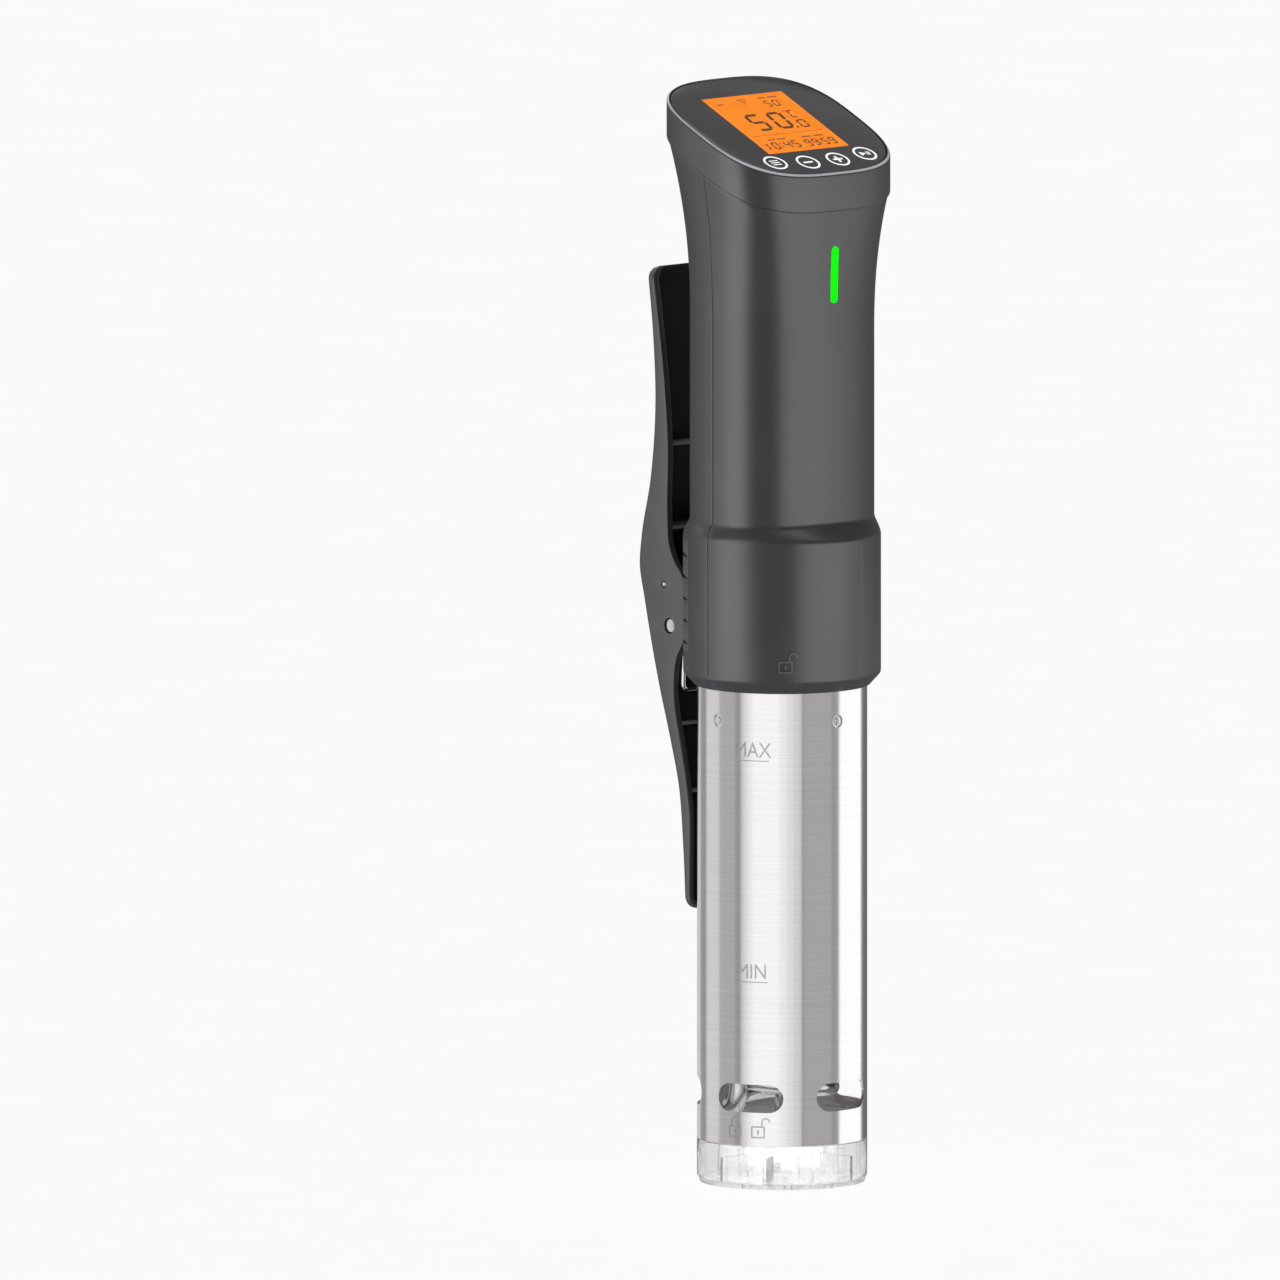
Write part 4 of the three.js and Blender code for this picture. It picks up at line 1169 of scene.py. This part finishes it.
def make_cap():
    top, skirt = TUBE_LOW - 0.3, TUBE_IN - 0.4
    inner = skirt - 1.6
    foot = [(TUBE_R - 0.9, 0), (TUBE_R - 0.5, 1.6), (TUBE_R, 2.2)]
    outside = rounded(
        foot + [(TUBE_R, top), (skirt, top), (skirt, CAP_HIGH)],
        [0.5, 0.3, 0.3, 0.2, 0.1, 0.1],
        4,
        False,
    )
    made = add_piece("clear_cap", *lathe(outside, capped=True), ["clear_cap", "clear_foot"])
    combine(made, tool(lathe([(inner, 2), (inner, CAP_HIGH + 2)], capped=True)), *cap_tracks(skirt))
    volute = tool(lathe(rectangle((14.2, 15.4), (1.8, 13.4))))
    combine(volute, tool(around(5, block((-3.6, 3.6), (-18, -10), (4.5, 20)), 36)))
    ribs = tool(around(10, block((-0.6, 0.6), (-skirt + 0.6, -15), (1.6, 10)), 18))
    combine(made, volute, ribs, operation="UNION")
    combine(made, tool(merge(around(10, floor_hole(4.4, 2.6, 21.6)), around(5, floor_hole(5.4, 2.8, 9)))))
    set_materials(made.data, ["clear_cap", "clear_foot", "clear_rib_painted_shade"])
    for face in made.data.polygons:
        x, y, z = face.center / MM
        reach, bearing = math.hypot(x, y), math.degrees(math.atan2(x, -y))
        face.material_index = int(reach > TUBE_R - 1.4 and z < FOOT)
        # One rib's sides are darkened: painted shade
        if abs(bearing - BLADE_BEARING) < 4 and 15.6 < reach < inner - 0.1 and z > 2.05:
            face.material_index = 2
    made.visible_shadow = False
    return finish_piece(made, "cap", "clear_cap", "end_cap")


# ---- heater and drive ----------------------------------------------------------------------------

COIL_R, TUBE_LEG_R, LEG_TOP = 16.4, 3.2, 166
LEG_A, LEG_B, LEG_B_TOP_R = (COIL_R, 112), (23.5, -80), 20.6


def make_heater():
    turns = LEG_B[1] + 3 * 360 - LEG_A[1]
    points = [polar(*LEG_A, z) for z in (LEG_TOP, 110, 72, 60)]
    turn = 20
    while turn <= turns - 60:
        points.append(polar(COIL_R, LEG_A[1] + turn, 50 - 24 * turn / turns))
        turn += 24
    points += [polar(18.6, LEG_B[1] - 30, 26.4), polar(22.4, LEG_B[1] - 7, 27.6)]
    points += [polar(*LEG_B, z) for z in (33, 42, 52, 62, 72, 90)]
    points += [polar(LEG_B_TOP_R, LEG_B[1], z) for z in (140, LEG_TOP)]
    # The heater's steel is darkened: painted shade inside the sleeve
    made = add_piece("heater_tube", *swept(through_points(points, 8), TUBE_LEG_R, 28), ["steel_tube"])
    return finish_piece(made, "body", "steel_bright", "heating_coil")


def make_impeller():
    bottom, top = low("impeller").z, high("impeller").z
    stem = [(2.8, bottom + 1.6), (5, bottom + 1.6), (5, top - 1.2)]
    disc = [(13, top - 1.2), (13, top), (2.8, top)]
    parts = [lathe(rounded(stem + disc, [0.2, 0.4, 0.6, 0.2, 0.4, 0.2]), 96)]
    for i in range(6):
        centre = [polar(4.4 + 8.2 * k / 12, 60 * i + 20 + 26 * (k / 12) ** 1.3) for k in range(13)]
        left, right, _ = stroke(centre, 1.1)
        parts.append(prism(left + right[::-1], facing_z, bottom, top - 1.1))
    # The wheel's white plastic glows a little: painted light
    made = add_piece("pump_wheel", *merge(*parts), ["white_plastic"])
    return finish_piece(made, "rotor", "white_plastic", "impeller")


# ---- clip --------------------------------------------------------------------------------------

FRONT_EDGE = [
    (91.5, 29.4), (110, 29.2), (124, 29.2), (135, 31), (149, 34.2), (162, 37.2),
    (169, 37.4), (177, 36), (184, 32.2), (187, 31.9), (203.5, 31.9), (206, 33.3),
    (209.6, 36.6), (216, 39.9), (224, 40.6), (250, 40.4), (272, 42.3), (294, 45.6),
    (310.2, 48.3),
]
REAR_EDGE = [
    (91.5, 31.8), (112, 33), (135, 35.7), (148, 39.4), (168, 45.8), (196, 53.1),
    (207.5, 55.6), (217, 54.7), (237, 50.1), (264, 47.5), (286, 48.6), (310.2, 51.6),
]
CORNER = 4.5
HOOK_Y, HOOK_Z = 42.5, 201.8
ACROSS = (-20, 20)


def lever_section(z, front, rear, hollow):
    """One level of the channel: two cheeks joined by a floor, as a closed loop of points."""
    end = min(z - LEVER_LOW, LEVER_HIGH - z)
    half = CHEEK_OUT
    if end < CORNER:
        half -= CORNER - math.sqrt(max(0, CORNER**2 - (CORNER - end) ** 2))
    yf, yr = front(z), rear(z)
    lip = min(LEVER_HIGH - z, 3) / 3
    close = 1 - math.sqrt(max(0, 1 - (1 - lip) ** 2))
    yf, yr = yf + 1.2 * close, yr - 1.2 * close
    inner = half - (CHEEK_OUT - CHEEK_IN)
    floor = yr - FLOOR if hollow else yf + 0.02
    loop = [(-half, yf), (-half, yr), (half, yr), (half, yf)]
    loop += [(inner, yf), (inner, floor), (-inner, floor), (-inner, yf)]
    radii = [0.5, 1.3, 1.3, 0.5, 0.5, 1.0, 1.0, 0.5]
    return [(x, y, z) for x, y in rounded(loop, radii, 4)]


def make_lever():
    front, rear = curve_through(FRONT_EDGE), curve_through(REAR_EDGE)
    hollow_low, hollow_high = 94.5, 307
    stations = [LEVER_LOW + CORNER * (1 - math.cos(math.pi / 2 * k / 8)) for k in range(6)]
    stations = [z for z in stations if z < hollow_low] + [hollow_low - 0.02, hollow_low + 0.02]
    stations += [hollow_low + 1 + (hollow_high - hollow_low - 2) * k / 190 for k in range(191)]
    stations += [hollow_high - 0.02, hollow_high + 0.02]
    end = LEVER_HIGH - hollow_high
    stations += [LEVER_HIGH - end * math.cos(math.pi / 2 * k / 8) for k in range(1, 9)]
    rings = [lever_section(z, front, rear, hollow_low < z < hollow_high) for z in stations]
    per_corner = 5
    verts, faces = loft(rings)
    # The channel's inner faces take the near-black channel material: painted shade
    dark = range(4 * per_corner + 2, 7 * per_corner + 2)
    count = len(rings[0])
    slots = [int(f % count in dark) if f < (len(rings) - 1) * count else 0 for f in range(len(faces))]
    made = add_piece("lever", verts, faces, ["clip_plastic", "channel"], slots, crease=50)
    ribs = []
    for z in (249.8, 221, 154.3, 131.7):
        outline = rectangle((-CHEEK_IN - 0.4, CHEEK_IN + 0.4), (front(z) + 1.2, rear(z) - 0.6))
        ribs.append(prism(rounded(outline, 0.3, 2), facing_z, z - 0.6, z + 0.6))
    pin_hole = tool(along_x(2.7, ACROSS, PIVOT_Y, PIVOT_Z))
    combine(made, pin_hole, tool(along_x(1.25, ACROSS, HOOK_Y, HOOK_Z)))
    finish_piece(made, "clip", "clip_plastic", "clip_lever")
    # The ribs are a lighter grey than the lever: painted highlight
    made = add_piece("lever_ribs", *merge(*ribs), ["rib_edge"])
    soften(made, 0.15)
    finish_piece(made, "clip", "clip_plastic")


def make_clip_mount():
    face = HOUSING_R + 0.05
    wall = rectangle((HOUSING_R - 1.6, face), (RACK_LOW, RACK_HIGH))
    band = add_piece("rack_band", *lathe(wall), ["clip_plastic"])
    combine(band, half_space((-FAR, RACK_Y)), relief_blocks((20, 45), (180, 209)))
    notches = []
    for i in range(5):
        z = RACK_LOW + 3 + 7.45 * i
        for side in (-1, 1):
            corners = [(0, 0.2), (side * 7, -0.75), (side * 30, -0.75), (side * 30, 0.7), (side * 7, 0.7)]
            notches.append(prism(dense(corners, 1.5), on_tube(side * 111.8, z, HOUSING_R), -1.5, 1))
    combine(band, tool(merge(*notches)))
    soften(band, 0.06)
    finish_piece(band, "body", "clip_plastic", "clip_mount")
    pad = add_piece("pivot_ears", *block((-9, 9), (30, 36.4), (186.5, 217)), ["clip_plastic"])
    combine(pad, tool(along_z(HOUSING_R + 0.5, (180, 225), ROUND)))
    for side in (-1, 1):
        x = sorted((side * 5.6, side * 9))
        web = block(x, (33.4, PIVOT_Y), (PIVOT_Z - 1.2, PIVOT_Z + 10))
        combine(pad, tool(web), tool(along_x(5.2, x, PIVOT_Y, PIVOT_Z)), operation="UNION")
    screw_holes = tool(merge(*[along_y(2.9, (34.6, 45), 0, z) for z in CLIP_SCREW_Z]))
    combine(pad, tool(along_x(2.7, ACROSS, PIVOT_Y, PIVOT_Z)), screw_holes)
    soften(pad, 0.3)
    finish_piece(pad, "body", "clip_plastic")


def make_pin():
    end = high("pivot_pin").x
    profile = rounded([(0.05, -end), (2.4, -end), (2.4, end), (0.05, end)], [0, 0.35, 0.35, 0], 4, False)
    rings = [[(x, y, z) for y, z in circle(PIVOT_Y, PIVOT_Z, r, 64)] for r, x in profile]
    made = add_piece("pivot_rod", *loft(rings), ["steel_bright"])
    return finish_piece(made, "body", "steel_bright", "pivot_pin")


WIRE_R, WIRE_COIL_R, BAIL_X, LEG_X, TAKEOFF = 0.9, 3.8, 12.7, 10.4, 153.3


def round_pin(x, degrees):
    angle = math.radians(degrees)
    return (x, PIVOT_Y + WIRE_COIL_R * math.cos(angle), PIVOT_Z + WIRE_COIL_R * math.sin(angle))


def make_springs():
    start = TAKEOFF - 360 + 18
    half = []
    for i in range(29):
        half.append(round_pin(LEG_X + (BAIL_X - LEG_X) * i / 28, start + (180 - start) * i / 28))
    half += [(BAIL_X, 36.2, 180), (BAIL_X, 36.9, 169), (BAIL_X - 0.3, 37.08, 167)]
    half += [(BAIL_X - 1.2, 37.15, 165.9), (BAIL_X - 3, 37.15, 165.8)]
    points = half + [(-x, y, z) for x, y, z in reversed(half)]
    made = add_piece("spring_wire", *swept(through_points(points, 4), WIRE_R, 16), ["steel_bright"])
    finish_piece(made, "body", "steel_bright", "clip_spring")
    for side, name in ((-1, "left"), (1, "right")):
        _, y, z = round_pin(0, TAKEOFF)
        points = [
            (side * LEG_X, y, z),
            (side * LEG_X, y + (HOOK_Y - y) * 0.6, z + (HOOK_Z - z) * 0.6),
            (side * (LEG_X + 0.2), HOOK_Y - 0.5, HOOK_Z - 1),
            (side * (LEG_X + 1.2), HOOK_Y, HOOK_Z),
            (side * 16.2, HOOK_Y, HOOK_Z),
        ]
        wire = swept(through_points(points, 8), WIRE_R, 16)
        made = add_piece(f"spring_hook_{name}", *wire, ["steel_bright"])
        finish_piece(made, "clip", "steel_bright", f"spring_leg_{name}")


# ---- everything else keeps its CAD shape -----------------------------------------------------------


def dress_cad_nodes():
    slots = {row["node"]: row["material_slot"] for row in frame["record"]["subparts"]}
    for name, made in frame["nodes"].items():
        set_materials(made.data, [slots[name]])
        for owner in list(made.users_collection):
            owner.objects.unlink(made)
        group_of(slots[name]).objects.link(made)


make_camera()
make_world()
MATERIALS = make_materials()
make_lights()
make_floor()
dress_cad_nodes()
for make in (
    make_head_collar,
    make_lens,
    make_screen,
    make_keys,
    make_front_shell,
    make_rear_shell,
    make_light_bar,
    make_screws,
    make_cord_gland,
    make_collar,
    make_sleeve,
    make_marks,
    make_cap,
    make_heater,
    make_impeller,
    make_lever,
    make_clip_mount,
    make_pin,
    make_springs,
):
    make()
